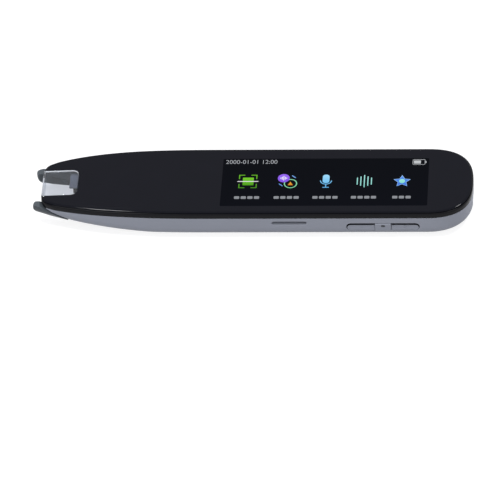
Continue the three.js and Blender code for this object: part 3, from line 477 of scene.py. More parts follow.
INNER_NODES: dict[Finish, str] = {
    SOLDER_MASK: "camera_board main_board key_board",
    BLACK_ABS: "camera_module tip_switch display_tape loudspeaker socket_tongue",
    PANEL_GLASS: "display_panel",
    WHITE_NYLON: "backlight_unit battery_plug battery_header",
    POLYIMIDE_FILM: "display_flex",
    PLATED_STEEL: "shield_can microphone tip_spring_left tip_spring_right"
    " left_key_switch middle_key_switch right_key_switch",
    CHIP_EPOXY: "processor_chip memory_chip",
    POUCH_LAMINATE: "battery",
    RED_PVC: "battery_lead_red",
    BLACK_PVC: "battery_lead_black",
}

# ------------------------------------------------------------- modelling


def clear_selection() -> None:
    """Deselects every object."""
    bpy.ops.object.select_all(action="DESELECT")


def pick(piece: Piece) -> None:
    """Makes a piece the only selected one and the active one.

    Args:
        piece: Piece that is picked.
    """
    clear_selection()
    piece.select_set(True)
    bpy.context.view_layer.objects.active = piece


def put(name: str, data: bpy.types.ID) -> Piece:
    """Links a new object into the scene.

    Args:
        name: Name of the object.
        data: Mesh, light or camera that it holds.

    Returns:
        The object.
    """
    piece = bpy.data.objects.new(name, data)
    bpy.context.scene.collection.objects.link(piece)
    return piece


@contextmanager
def editing(piece: Piece, mode: str = "EDGE") -> Iterator[None]:
    """Opens a piece in edit mode and closes it again.

    Args:
        piece: Piece to edit.
        mode: "VERT", "EDGE" or "FACE".

    Yields:
        Nothing, while the piece is in edit mode.
    """
    pick(piece)
    bpy.ops.object.mode_set(mode="EDIT")
    bpy.ops.mesh.select_mode(type=mode)
    try:
        yield
    finally:
        bpy.ops.object.mode_set(mode="OBJECT")


def choose_edges(piece: Piece, test: Callable[[int, int], bool]) -> None:
    """Selects the edges whose two ends pass a test, and nothing else.

    Args:
        piece: Piece whose edges are chosen.
        test: Takes the numbers of an edge's two points.
    """
    mesh = piece.data
    for part in (mesh.vertices, mesh.edges, mesh.polygons):
        part.foreach_set("select", [False] * len(part))
    for edge in mesh.edges:
        a, b = edge.vertices
        if test(a, b):
            edge.select = mesh.vertices[a].select = mesh.vertices[b].select = True


def modify(piece: Piece, kind: str, **settings: object) -> Piece:
    """Gives a piece a modifier and applies it.

    Args:
        piece: Piece that is changed.
        kind: Type of the modifier.
        settings: Properties of the modifier.

    Returns:
        The changed piece.
    """
    modifier = piece.modifiers.new(kind, kind)
    for key, value in settings.items():
        setattr(modifier, key, value)
    pick(piece)
    bpy.ops.object.modifier_apply(modifier=modifier.name)
    return piece


def combine(operation: str, piece: Piece, *others: Piece) -> Piece:
    """Changes a piece by others, which are used up.

    Args:
        operation: "DIFFERENCE", "UNION" or "INTERSECT".
        piece: Piece that is changed.
        others: Pieces that are used up, one after the other.

    Returns:
        The changed piece.
    """
    for other in others:
        modify(piece, "BOOLEAN", object=other, operation=operation, solver="EXACT")
        bpy.data.objects.remove(other)
    return piece


def carve(piece: Piece, *cutters: Piece) -> Piece:
    """Cuts each of the cutters out of a piece and returns the piece."""
    return combine("DIFFERENCE", piece, *cutters)


def weld(piece: Piece, *others: Piece) -> Piece:
    """Adds each of the others to a piece and returns the piece."""
    return combine("UNION", piece, *others)


def common(piece: Piece, other: Piece) -> Piece:
    """Leaves what a piece has in common with the other and returns the piece."""
    return combine("INTERSECT", piece, other)


def gather(parts: Sequence[Piece]) -> Piece:
    """Joins loose parts into one object.

    Args:
        parts: Parts that are joined.

    Returns:
        The joined object.
    """
    pick(parts[0])
    for part in parts:
        part.select_set(True)
    if len(parts) > 1:
        bpy.ops.object.join()
    return parts[0]


def settle(piece: Piece) -> Piece:
    """Puts a piece's place, turn and scale into its mesh.

    Args:
        piece: Piece that is changed.

    Returns:
        The same piece.
    """
    pick(piece)
    bpy.ops.object.transform_apply(location=True, rotation=True, scale=True)
    return piece


def seal(piece: Piece) -> Piece:
    """Merges points that meet and turns the faces outwards.

    Args:
        piece: Piece that is changed.

    Returns:
        The same piece.
    """
    with editing(piece, "VERT"):
        bpy.ops.mesh.select_all(action="SELECT")
        bpy.ops.mesh.remove_doubles(threshold=MERGE_DISTANCE * MM)
        bpy.ops.mesh.normals_make_consistent(inside=False)
    return piece


def seat(
    piece: Piece,
    name: str,
    finish: Look,
    slot: Slot,
    *replaced: str,
    body: str = PEN,
    degrees: float = SMOOTH_DEGREES,
) -> None:
    """Dresses a finished piece and hands it to its body.

    Args:
        piece: Piece that is ready.
        name: Its name in the scene.
        finish: Its finish.
        slot: Material slot of the record; not used.
        replaced: Nodes that it stands for.
        body: Body that it rides on.
        degrees: Angle up to which it is shaded smooth.
    """
    piece.name = piece.data.name = name
    settle(piece)
    bpy.ops.object.shade_smooth_by_angle(angle=math.radians(degrees))
    piece.data.materials.clear()
    piece.data.materials.append(finish.make())
    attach(piece, body)
    if replaced:
        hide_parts(*replaced)
    log.info("%s: %d faces on %s", name, len(piece.data.polygons), body)


def stand_up(plan: np.ndarray, axis: Axis, at: float, centre: Point = (0, 0)) -> np.ndarray:
    """Stands a plan up across an axis.

    Args:
        plan: Points in the plan, one row each.
        axis: Axis that the plan stands across.
        at: Place on that axis.
        centre: Where the plan's origin lies on the two other axes.

    Returns:
        The points in space.
    """
    return np.insert(plan + np.array(centre, float), axis.value, at, axis=1)


def loft(rings: Sequence[np.ndarray], ends: Ends = Ends.FACE) -> Piece:
    """Draws a closed body through rings of points.

    A circle is extruded once for each further ring, then each ring gets its points.

    Args:
        rings: Points of each ring in millimetres, all of one count.
        ends: How the two ends are closed.

    Returns:
        The new body.
    """
    count = len(rings[0])
    clear_selection()
    bpy.ops.mesh.primitive_circle_add(vertices=count, radius=1, fill_type="NOTHING")
    body = bpy.context.object
    first = body.data.vertices[0].co.copy()
    start = math.atan2(first.y, first.x)
    with editing(body):
        bpy.ops.mesh.select_all(action="SELECT")
        for _ in rings[1:]:
            bpy.ops.mesh.extrude_edges_move(TRANSFORM_OT_translate={"value": (0, 0, 1)})
    mesh = body.data
    place = np.zeros(len(mesh.vertices) * 3)
    mesh.vertices.foreach_get("co", place)
    place = place.reshape(-1, 3)
    level = np.rint(place[:, 2]).astype(int)
    turn = np.arctan2(place[:, 1], place[:, 0]) - start
    step = np.rint(turn / (2 * math.pi) * count).astype(int) % count
    mesh.vertices.foreach_set("co", (np.array(rings)[level, step] * MM).ravel())
    mesh.update()
    half = count // 2
    last = len(rings) - 1
    for closed in ((0, last),) if ends is Ends.JOINED else ((0,), (last,)):

        def on_end(a: int, b: int) -> bool:
            """Whether an edge is closed over, which leaves out the one across strips."""
            apart = ends is Ends.STRIPS and (step[a] < half) != (step[b] < half)
            return level[a] in closed and level[a] == level[b] and not apart

        choose_edges(body, on_end)
        with editing(body):
            if ends is Ends.FACE:
                bpy.ops.mesh.edge_face_add()
            else:
                bpy.ops.mesh.bridge_edge_loops()
    return seal(body)


def rounded_plan(width: float, height: float, corner: float, steps: int = 8) -> np.ndarray:
    """Draws a rectangle with round corners about the origin.

    Args:
        width: Size along the first direction.
        height: Size along the second direction.
        corner: Radius of the corners.
        steps: Number of steps of a corner.

    Returns:
        Its points, one row each.
    """
    radius = min(corner, width / 2 - 1e-4, height / 2 - 1e-4)
    points = []
    for quarter, (sx, sy) in enumerate(((1, 1), (-1, 1), (-1, -1), (1, -1))):
        x, y = sx * (width / 2 - radius), sy * (height / 2 - radius)
        for angle in np.linspace(0, math.pi / 2, steps) + quarter * math.pi / 2:
            points.append((x + radius * math.cos(angle), y + radius * math.sin(angle)))
    return np.array(points)


def stepped(
    axis: Axis,
    size: tuple[float, float, float],
    centre: Point,
    places: Pairs,
    steps: int,
    ends: Ends = Ends.FACE,
) -> Piece:
    """Draws a body whose rounded outline grows or shrinks along an axis.

    Args:
        axis: Axis that it is drawn along.
        size: Length, height and corner radius of its outline.
        centre: Its middle on the two other axes.
        places: Place of each ring on the axis, and how much its outline has grown.
        steps: Number of steps of a corner.
        ends: How its two ends are closed.

    Returns:
        The new body.
    """
    length, height, corner = size
    rings = []
    for at, grow in places:
        plan = rounded_plan(length + 2 * grow, height + 2 * grow, corner + grow, steps)
        rings.append(stand_up(plan, axis, at, centre))
    return loft(rings, ends)


def rod(
    axis: Axis, centre: Point, profile: Pairs, sides: int = 48, ends: Ends = Ends.FACE
) -> Piece:
    """Draws a turned body from a profile along an axis.

    Args:
        axis: Direction of the axis.
        centre: Where the axis lies on the two other axes.
        profile: Place on the axis and radius of each step.
        sides: Number of sides.
        ends: How its two ends are closed.

    Returns:
        The new body.
    """
    around = np.linspace(0, 2 * math.pi, sides, endpoint=False)
    circle = np.column_stack((np.cos(around), np.sin(around)))
    return loft([stand_up(circle * r, axis, at, centre) for at, r in profile], ends)


def rounded_block(
    low: Point,
    high: Point,
    corner: float = 0.0,
    edge: float = 0.0,
    axis: Axis = Axis.Z,
    steps: int = 6,
    edge_steps: int = 3,
) -> Piece:
    """Draws a block with round corners along one axis and eased rims.

    Args:
        low: Lowest corner in millimetres.
        high: Highest corner in millimetres.
        corner: Radius of the round corners.
        edge: Radius of the rims at both ends.
        axis: Direction that the round corners run along.
        steps: Number of steps of a corner.
        edge_steps: Number of steps of a rim.

    Returns:
        The new block.
    """
    first, last = Vector(low), Vector(high)
    clear_selection()
    bpy.ops.mesh.primitive_cube_add(
        size=1, location=(first + last) / 2 * MM, scale=(last - first) * MM
    )
    block = settle(bpy.context.object)
    along = axis.value
    ends = (first[along] * MM, last[along] * MM)
    points = block.data.vertices

    def upright(a: int, b: int) -> bool:
        """Whether an edge runs along the axis."""
        return abs((points[a].co - points[b].co).normalized()[along]) > 0.9

    def on_rim(a: int, b: int) -> bool:
        """Whether an edge lies on one of the two ends."""
        here, there = points[a].co[along], points[b].co[along]
        return any(abs(here - end) < 1e-7 and abs(there - end) < 1e-7 for end in ends)

    for radius, count, test in ((corner, steps, upright), (edge, edge_steps, on_rim)):
        if radius > 0:
            points = block.data.vertices
            choose_edges(block, test)
            with editing(block):
                bpy.ops.mesh.bevel(offset=radius * MM, segments=count, profile=0.5, affect="EDGES")
            seal(block)
    return block


def node_box(node: str) -> tuple[Vector, Vector]:
    """Returns a node's lowest and highest corner in millimetres."""
    low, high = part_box(node)
    return low / MM, high / MM


def copy_of(node: str) -> Piece:
    """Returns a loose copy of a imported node."""
    return put(node + "_copy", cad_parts[node].data.copy())


def softened(node: str, edge: float, steps: int = 2, degrees: float = 40.0) -> Piece:
    """Copies a node's mesh, merges its loose faces and eases its edges.

    Args:
        node: Name of the node that is copied.
        edge: Radius of the eased edges in millimetres.
        steps: Number of steps of an eased edge.
        degrees: Only edges sharper than this are eased.

    Returns:
        The eased copy.
    """
    piece = copy_of(node)
    with editing(piece, "VERT"):
        bpy.ops.mesh.customdata_custom_splitnormals_clear()
        bpy.ops.mesh.select_all(action="SELECT")
        bpy.ops.mesh.remove_doubles(threshold=MERGE_DISTANCE * MM)
        bpy.ops.mesh.dissolve_limited(angle_limit=math.radians(1))
    return modify(
        piece, "BEVEL", width=edge * MM, segments=steps, limit_method="ANGLE",
        angle_limit=math.radians(degrees), use_clamp_overlap=True,
    )


# ------------------------------------------------------------ form of the pen


@dataclass(frozen=True)
class Inset:
    """How far an outline is drawn in at the sides, the tail, the nose and the nose's trim."""

    side: float = 0.0
    tail: float = 0.0
    nose: float = 0.0
    trim: float = 0.0

    @staticmethod
    def even(amount: float) -> Inset:
        """Returns an inset of one amount all round."""
        return Inset(amount, amount, amount, amount)


@dataclass(frozen=True)
class Level:
    """One ring of a casing body: its inset and its height along the pen."""

    inset: Inset
    height: Heights


@dataclass(frozen=True)
class PenForm:
    """Plan outline and side view that every casing piece follows, in millimetres."""

    tail_x: float = 76.35
    nose_x: float = -73.45
    half_width: float = 16.7
    thickness: float = 11.5
    tail_curve: float = 16.6
    taper_length: float = 61.8
    nose_half: float = 9.55
    tail_along: float = 2.5
    tail_across: float = 2.73
    taper_along: float = 2.77
    taper_across: float = 2.02
    flat_half: float = 6.65
    nose_corner: float = 4.0
    nose_turn: float = math.radians(65)
    drop: float = 1.0
    drop_length: float = 37.2
    rise: float = 4.0
    rise_length: float = 39.2
    rise_power: float = 1.3
    split: float = 8.9
    bottom_round: float = 4.6
    tail_bottom_round: float = 8.2
    pinch: float = 0.9
    top_round: float = 1.2
    notch_half: float = 6.55
    notch_back: float = -60.85
    notch_corner: float = 2.6
    guard_high: float = 8.7
    guard_low: float = 4.303
    guard_run: float = 10.2
    first_turn: float = 0.9
    tail_steps: int = 40
    side_steps: int = 8
    taper_steps: int = 66

    def drop_at(self, x: np.ndarray) -> np.ndarray:
        """Returns how far the top has fallen at each place."""
        share = np.clip((self.nose_x + self.drop_length - x) / self.drop_length, 0, 1)
        return self.drop * share**2

    def underside_at(self, x: np.ndarray) -> np.ndarray:
        """Returns the height of the underside at each place."""
        share = np.clip((self.nose_x + self.rise_length - x) / self.rise_length, 0, 1)
        return self.rise * share**self.rise_power

    def round_height_at(self, x: np.ndarray) -> np.ndarray:
        """Returns the height of the bottom rounding at each place."""
        room = (self.split - self.drop_at(x) - self.underside_at(x)) * self.pinch
        return np.minimum(self.bottom_round, room)

    def guard_edge_at(self, x: float) -> float:
        """Returns the height of the slanted lower edge of the nose."""
        slope = (self.guard_high - self.guard_low) / self.guard_run
        return self.guard_high - slope * (x - self.nose_x)

    def trim_at(self, y: np.ndarray, inset: float) -> np.ndarray:
        """Finds how far forward the nose reaches.

        Args:
            y: Distances from the middle of the pen.
            inset: How far the front is drawn back.

        Returns:
            The lowest x at each of those distances.
        """
        radius = self.nose_corner - inset
        centre = self.nose_x + self.nose_corner
        out = np.clip(y - self.flat_half, 0, None)
        bend = radius * math.sin(self.nose_turn)
        arc = centre - np.sqrt(np.clip(radius**2 - np.minimum(out, bend) ** 2, 0, None))
        return arc + np.clip(out - bend, 0, None) * math.tan(self.nose_turn)

    def outline(self, inset: Inset) -> np.ndarray:
        """Draws the plan outline from the tail along one side and back along the other.

        Args:
            inset: How far it is drawn in.

        Returns:
            Points in the plan, one row each.
        """
        half = self.half_width - inset.side
        shoulder_x = self.tail_x - self.tail_curve
        turn = np.radians(np.linspace(self.first_turn, 90, self.tail_steps))
        bulge = (self.tail_curve - inset.tail) * np.cos(turn).clip(0) ** (2 / self.tail_along)
        tail = np.column_stack((shoulder_x + bulge, half * np.sin(turn) ** (2 / self.tail_across)))
        taper_x = self.nose_x + self.taper_length
        along = np.linspace(shoulder_x, taper_x, self.side_steps + 2)[1:-1]
        side = np.column_stack((along, np.full(self.side_steps, half)))
        share = (self.nose_half / self.half_width) ** self.taper_across
        reach = self.taper_length / (1 - share) ** (1 / self.taper_along) - inset.nose
        last = math.asin((self.flat_half / half) ** (self.taper_across / 2))
        turn = np.linspace(math.pi / 2, last, self.taper_steps)
        y = half * np.sin(turn) ** (2 / self.taper_across)
        x = taper_x - reach * np.cos(turn).clip(0) ** (2 / self.taper_along)
        taper = np.column_stack((np.maximum(x, self.trim_at(y, inset.trim)), y))
        return mirrored(np.vstack((tail, side, taper)))

    def at(self, inset: float, height: float) -> Level:
        """Makes a level of an even inset, whose height follows the falling top.

        Args:
            inset: How far it is drawn in.
            height: Its height where the top hasn't fallen.

        Returns:
            The level.
        """
        return Level(Inset.even(inset), lambda x: height - self.drop_at(x))

    def body(self, *levels: Level) -> Piece:
        """Draws a closed casing body.

        Args:
            levels: Levels that it goes through.

        Returns:
            The body.
        """
        rings = []
        for level in levels:
            plan = self.outline(level.inset)
            rings.append(np.column_stack((plan, level.height(plan[:, 0]))))
        return loft(rings, Ends.STRIPS)

    def bottom_levels(self, inset: float, lift: float, steps: int = 14) -> list[Level]:
        """Lists the levels of the rounded bottom.

        Args:
            inset: How far in the wall stands.
            lift: Thickness of the floor below.
            steps: Number of steps of the rounding.

        Returns:
            The levels from the floor up.
        """

        def raised(share: float) -> Heights:
            """Returns the height at a share of the rounding."""
            return lambda x: self.underside_at(x) + lift + (self.round_height_at(x) - lift) * share

        levels = []
        for angle in np.linspace(0, math.pi / 2, steps):
            curl = 1 - math.sin(angle)
            side = inset + (self.bottom_round - inset) * curl
            tail = inset + (self.tail_bottom_round - inset) * curl
            levels.append(Level(Inset(side, tail, side, inset), raised(1 - math.cos(angle))))
        return levels

    def top_levels(self, first: float, top: float, steps: int) -> list[Level]:
        """Lists the levels of the rounded top edge.

        Args:
            first: Angle that the rounding starts at, in degrees.
            top: Height of the top face.
            steps: Number of steps of the rounding.

        Returns:
            The levels from the rounding's start up to the top face.
        """
        return [
            self.at(self.top_round * (1 - math.cos(a)), top - self.top_round * (1 - math.sin(a)))
            for a in np.radians(np.linspace(first, 90, steps))
        ]

    def notch_plan(self, gap: float, front: float, steps: int = 12) -> np.ndarray:
        """Draws the plan of the window's notch.

        Args:
            gap: How far it is drawn in.
            front: Where it starts at the front.
            steps: Number of steps of a corner.

        Returns:
            Points in the plan, one row each.
        """
        half = self.notch_half - gap
        corner = self.notch_corner - gap
        centre = self.notch_back - gap - corner
        turn = np.linspace(math.pi / 2, 0, steps)
        bend = (centre + corner * np.cos(turn), half - corner + corner * np.sin(turn))
        straight = np.linspace(front, centre, 8)[:-1]
        side = np.column_stack((straight, np.full(len(straight), half)))
        return mirrored(np.vstack((side, np.column_stack(bend))))

    def notch_body(self) -> Piece:
        """Returns a tall upright prism in the notch."""
        plan = self.notch_plan(0, self.nose_x - 3)
        return loft([stand_up(plan, Axis.Z, z) for z in (-3, 15)])

    def below_guard_edge(self) -> Piece:
        """Builds the room below the slanted lower edge of the nose.

        Returns:
            The room.
        """
        ahead, end = self.nose_x - 5, self.nose_x + self.guard_run
        side = [(ahead, -3), (end, -3), *((x, self.guard_edge_at(x)) for x in (end, ahead))]
        return loft([stand_up(np.array(side), Axis.Y, y) for y in (-20, 20)])


def mirrored(plan: np.ndarray) -> np.ndarray:
    """Returns a plan's left half followed by its right half, drawn back to the start."""
    return np.vstack((plan, plan[::-1] * (1, -1)))


FORM = PenForm()


@dataclass
class Casing:
    """Lower casing, black upper frame, cover sheet, clear window and screws."""

    wall: float = 1.3
    floor: float = 1.2
    seam: float = 0.1
    seam_ease: float = 0.12
    closing: float = 0.3
    web_low: float = 9.6
    web_top: float = 10.5
    frame_top: float = 11.48
    cover_low: float = 10.6
    cover_top: float = 11.48
    cover_inset: float = 0.5
    recess_inset: float = 0.3
    recess_flare: float = 0.07
    cheek_outer: float = 7.25
    ledge_in: float = 0.4
    ledge_low: float = 7.9
    window_thick: float = 1.3
    window_seat: float = 0.1
    lip_thick: float = 0.7
    lip_drawn: float = 0.36
    thinned_to: float = 8.9
    skin: float = 0.3
    window_gap: float = 0.2
    lip_low: float = 4.2
    key_row: tuple[float, float] = (45.45, 4.95)
    key_opening: tuple[float, float, float] = (25.2, 3.3, 1.55)
    slot: tuple[float, float] = (13.15, 6.8)
    slot_opening: tuple[float, float, float] = (12.1, 1.4, 0.7)
    socket: tuple[float, float] = (0.0, 5.05)
    socket_opening: tuple[float, float, float] = (9.44, 3.7, 1.85)
    mic_port: tuple[float, float] = (6.6, 6.2)
    mic_radius: float = 0.45
    boss_radius: float = 2.1
    boss_top: float = 4.0
    head_sink: float = 1.75
    neck: float = 1.6
    bore: float = 1.0
    screw_places: tuple[tuple[str, float, float], ...] = (
        ("screw_nose_left", -46.95, 9.2),
        ("screw_nose_right", -46.95, -9.2),
        ("screw_tail_left", 65.45, 8.6),
        ("screw_tail_right", 65.45, -8.6),
    )

    def build(self) -> None:
        """Builds and dresses the casing pieces."""
        seat(self.lower(), "lower_casing", PAINTED_SHELL, Slot.CASING_GREY, "lower_housing")
        seat(self.frame(), "black_frame", GLOSS_BAND, Slot.CASING_BLACK, "upper_frame")
        for side, name in ((1, "nose_wall_left"), (-1, "nose_wall_right")):
            skin = common(self.cheek(side), self.skin_zone(0))
            seat(skin, name, WALL_ABS, Slot.BLUE_PLASTIC)
        seat(self.cover(), "cover_sheet", PRINTED_COVER, Slot.COVER_SHEET, "cover_glass")
        seat(self.window(), "clear_window", CLEAR_WINDOW, Slot.CLEAR_WINDOW, "nose_window")
        seat(self.gauze(), "slot_gauze", DARK_GAUZE, Slot.STEEL, "speaker_mesh", degrees=20)
        self.screws()

    def lower(self) -> Piece:
        """Builds the lower casing with its openings.

        Returns:
            The casing.
        """
        split, ease = FORM.split, self.seam_ease
        rounded = FORM.bottom_levels(0, 0)
        base = rounded[0]
        side, tail = base.inset.side + self.closing, base.inset.tail + self.closing
        outer = FORM.body(
            Level(Inset(side, tail, side, 0), base.height),
            *rounded,
            FORM.at(0, split - ease),
            FORM.at(ease, split),
            FORM.at(ease + self.closing, split),
        )
        open_top = Level(Inset.even(self.wall), lambda x: np.full(len(x), split + 2))
        carve(outer, FORM.body(*FORM.bottom_levels(self.wall, self.floor, 10), open_top))
        for _, x, y in self.screw_places:
            column = [(at, self.boss_radius) for at in (0.6 if x > 0 else 1.4, self.boss_top)]
            weld(outer, rod(Axis.Z, (x, y), column, 40))
        for _, x, y in self.screw_places:
            deep = 0.0 if x > 0 else 0.9
            wide, neck = self.head_sink, self.neck
            head = ((-1, wide), (deep, wide), (deep + 0.15, neck), (2.1, neck))
            thread = ((1.9, self.bore), (12, self.bore))
            carve(outer, rod(Axis.Z, (x, y), head, 40), rod(Axis.Z, (x, y), thread, 32))
        key_flare = ((-15.3, 0.0), (-16.5, 0.0), (-16.72, 0.14), (-18.0, 1.2))
        slot_flare = ((-15.3, 0.0), (-16.55, 0.0), (-16.72, 0.1), (-18.0, 1.0))
        socket_flare = ((69.75, 0.0), (76.0, 0.0), (76.25, 0.18), (77.5, 1.3))
        port = ((69.75, self.mic_radius), (79, self.mic_radius))
        return carve(
            outer,
            rounded_block((-80, -7.55, -3), (-60.55, 7.55, 20)),
            FORM.below_guard_edge(),
            rounded_block((-71.25, -8.85, 4.6), (-54.75, 8.85, 7.0)),
            stepped(Axis.Y, self.key_opening, self.key_row, key_flare, 10),
            rounded_block((32.85, -15.42, 2.95), (58.05, -13.9, 6.95)),
            stepped(Axis.Y, self.slot_opening, self.slot, slot_flare, 10),
            rounded_block((6.1, -15.42, 5.65), (20.2, -12.25, 7.95)),
            stepped(Axis.X, self.socket_opening, self.socket, socket_flare, 12),
            rod(Axis.X, self.mic_port, port, 24),
        )

    def frame(self) -> Piece:
        """Builds the black frame with its recess, its opening and the nose's inner walls.

        Returns:
            The frame.
        """
        low, rim = FORM.split + self.seam, self.recess_inset
        flared = rim - self.recess_flare
        body = FORM.body(
            FORM.at(self.seam_ease, low),
            FORM.at(0, low + self.seam_ease),
            *FORM.top_levels(0, self.frame_top, 12),
        )
        carve(
            body,
            FORM.body(
                FORM.at(rim, self.web_top), FORM.at(rim, 10.97),
                FORM.at(flared, 11.06), FORM.at(flared, 14),
            ),
            FORM.body(FORM.at(self.wall, 6.9), FORM.at(self.wall, self.web_low)),
            rounded_block((-12.95, -13.4, 6), (62.65, 13.4, 14), corner=0.8),
            rounded_block((-15.35, -7.3, 6), (-12.0, 7.3, 14)),
            FORM.notch_body(),
            FORM.below_guard_edge(),
        )
        weld(body, self.cheek(-1))
        weld(body, self.cheek(1))
        return carve(body, self.skin_zone(0.02))

    def under_window(self, inset: float, gap: float) -> Piece:
        """Builds the room below the window's plate.

        Args:
            inset: How far it is drawn in all round.
            gap: How much higher it reaches.

        Returns:
            The room.
        """
        top = FORM.thickness - self.window_thick - self.window_seat + gap
        ground = Level(Inset.even(inset), lambda x: np.zeros(len(x)))
        return FORM.body(ground, FORM.at(inset, top))

    def skin_zone(self, gap: float) -> Piece:
        """Builds the zone next to the notch that the skins of the inner walls fill.

        Args:
            gap: How much wider the zone is than the skins.

        Returns:
            The zone.
        """
        half = FORM.notch_half + self.skin + gap
        zone = rounded_block((FORM.nose_x - 2, -half, 0.5), (FORM.notch_back + gap, half, 14))
        return common(zone, self.under_window(-0.5, gap))

    def cheek(self, side: int) -> Piece:
        """Builds one inner wall of the nose with the ledge that the window lies on.

        Args:
            side: 1 for the left of the pen and -1 for the right.

        Returns:
            The wall.
        """
        outer, inner = self.cheek_outer, FORM.notch_half
        low, high = sorted((side * inner, side * outer))
        wall = rounded_block(
            (FORM.nose_x - 1, low, 2.9), (FORM.notch_back, high, self.web_low + 0.35)
        )
        low, high = sorted((side * (inner - self.ledge_in), side * (outer - 0.01)))
        ledge = rounded_block(
            (FORM.nose_x + self.lip_thick + 0.3, low, self.ledge_low),
            (FORM.notch_back - 0.01, high, 11),
        )
        weld(wall, ledge)
        carve(wall, FORM.below_guard_edge())
        return common(wall, self.under_window(0.002, 0))

    def cover(self) -> Piece:
        """Builds the cover sheet with the window's notch.

        Returns:
            The sheet.
        """
        body = FORM.body(
            FORM.at(self.cover_inset, self.cover_low),
            FORM.at(self.cover_inset, 11.2),
            *FORM.top_levels(57, self.cover_top, 9),
            FORM.at(FORM.top_round + self.closing, self.cover_top),
        )
        return carve(body, FORM.notch_body())

    def window(self) -> Piece:
        """Builds the clear window: a plate in the notch and a lip down over the front.

        The lip is welded on at its full thickness and thinned from behind.

        Returns:
            The window.
        """
        top, nose = self.cover_top, FORM.nose_x
        low = top - self.window_thick
        rings = []
        for gap, height in (
            (0.5, low), (0.32, low), (0.2, low + 0.12), (0.2, top - 0.12),
            (0.23, top - 0.04), (0.32, top), (0.6, top),
        ):
            plan = FORM.notch_plan(gap, nose + gap - 0.2)
            rings.append(np.column_stack((plan, height - FORM.drop_at(plan[:, 0]))))
        half = FORM.notch_half - self.window_gap
        lip = rounded_block(
            (nose + 0.005, -half + 0.005, self.lip_low),
            (nose + self.lip_thick, half - 0.005, 10.0),
            corner=0.25, edge=0.12, axis=Axis.X,
        )
        behind = (
            (nose + self.lip_drawn, -half - 1, self.lip_low - 1),
            (nose + self.lip_thick + 1, half + 1, self.thinned_to),
        )
        return carve(weld(loft(rings, Ends.STRIPS), lip), rounded_block(*behind))

    def gauze(self) -> Piece:
        """Builds the woven gauze behind the sound slot.

        Returns:
            The gauze.
        """
        low, high = node_box("speaker_mesh")
        clear_selection()
        bpy.ops.mesh.primitive_grid_add(
            x_subdivisions=38, y_subdivisions=6, size=1,
            location=(low + high) / 2 * MM, rotation=(math.pi / 2, 0, 0),
        )
        gauze = bpy.context.object
        size = (high - low) * MM
        gauze.scale = (size.x, size.z, 1)
        settle(gauze)
        with editing(gauze, "FACE"):
            bpy.ops.mesh.select_all(action="SELECT")
            bpy.ops.mesh.inset(thickness=0.07 * MM, use_individual=True)
            bpy.ops.mesh.delete(type="FACE")
        return modify(gauze, "SOLIDIFY", thickness=0.1 * MM, offset=0)

    def screws(self) -> None:
        """Builds one slotted screw and sets a copy of it at each place."""
        profile = (
            (1.4, 1.2), (1.42, 1.32), (1.5, 1.39), (1.62, 1.4), (2.2, 0.8), (6.7, 0.8),
            (7.15, 0.45),
        )
        first = rod(Axis.Z, (0, 0), profile)
        carve(first, rounded_block((-3, -0.225, 0), (3, 0.225, 1.8)))
        for name, x, y in self.screw_places:
            screw = put(name, first.data.copy())
            screw.matrix_world = Matrix.Translation(Vector((x, y, 0)) * MM)
            seat(screw, name + "_turned", PLATED_STEEL, Slot.STEEL, name)
        bpy.data.objects.remove(first)


@dataclass
class NoseReader:
    """What shows through the clear window: camera, its holder and the two light blocks."""

    barrel_radius: float = 1.71
    bore_radius: float = 1.26
    barrel_front: float = -62.75
    barrel_back: float = -59.35
    height: float = 7.11
    groove_pitch: float = 0.36
    lens_bulge: float = 0.35
    lens_ease: float = 0.1

    def build(self) -> None:
        """Builds and dresses the reader's pieces."""
        black, blue = Slot.BLACK_PLASTIC, Slot.BLUE_PLASTIC
        holder = softened("camera_bracket", 0.15)
        seat(holder, "camera_holder", BLUE_ABS, blue, "camera_bracket")
        seat(self.barrel(), "lens_tube", BLACK_ABS, black, "lens_barrel")
        seat(self.lens(), "camera_lens", COATED_LENS, Slot.LENS, "lens_glass")
        for side in ("left", "right"):
            node = f"light_block_{side}"
            seat(softened(node, 0.2, 3), f"light_{side}", BLUE_ABS, blue, node)
            seat(self.diffuser(node), f"light_{side}_diffuser", FROSTED_DIFFUSER, blue)
        hood = rounded_block((-64.05, -1.75, 8.95), (-60.5, 5.3, 9.5), corner=0.4, edge=0.1)
        seat(hood, "camera_hood", HOOD_ABS, blue)

    def barrel(self) -> Piece:
        """Builds the lens tube with its focusing grooves and bore.

        Returns:
            The tube.
        """
        outer, bore = self.barrel_radius, self.bore_radius
        front, back = self.barrel_front, self.barrel_back
        profile = [(back, bore), (back, outer - 0.1), (back - 0.1, outer)]
        for at in np.arange(back - 0.5, front + 0.9, -self.groove_pitch):
            profile += [(at, outer), (at - 0.09, outer - 0.09), (at - 0.18, outer)]
        profile += [
            (front + 0.12, outer), (front, outer - 0.12), (front, bore + 0.14),
            (front + 0.14, bore),
        ]
        return rod(Axis.X, (0, self.height), profile, 56, Ends.JOINED)

    def lens(self) -> Piece:
        """Builds the bulging front lens.

        Returns:
            The lens.
        """
        low, high = node_box("lens_glass")
        radius, bulge, ease = (high.y - low.y) / 2, self.lens_bulge, self.lens_ease
        profile = [(high.x, radius - ease), (high.x - ease, radius)]
        for angle in np.linspace(0, math.pi / 2 - 0.03, 10):
            front = low.x + bulge - bulge * math.sin(angle)
            profile.append((front, radius * math.cos(angle)))
        return rod(Axis.X, ((low + high) / 2)[1:], profile)

    def diffuser(self, node: str) -> Piece:
        """Builds the frosted front of a light block.

        Args:
            node: Name of the light block's node.

        Returns:
            The diffuser.
        """
        low, high = node_box(node)
        return rounded_block(
            (low.x + 0.02, low.y + 0.35, low.z + 0.5), (low.x + 0.5, high.y - 0.35, high.z - 0.5),
            corner=0.3, edge=0.08, axis=Axis.X,
        )


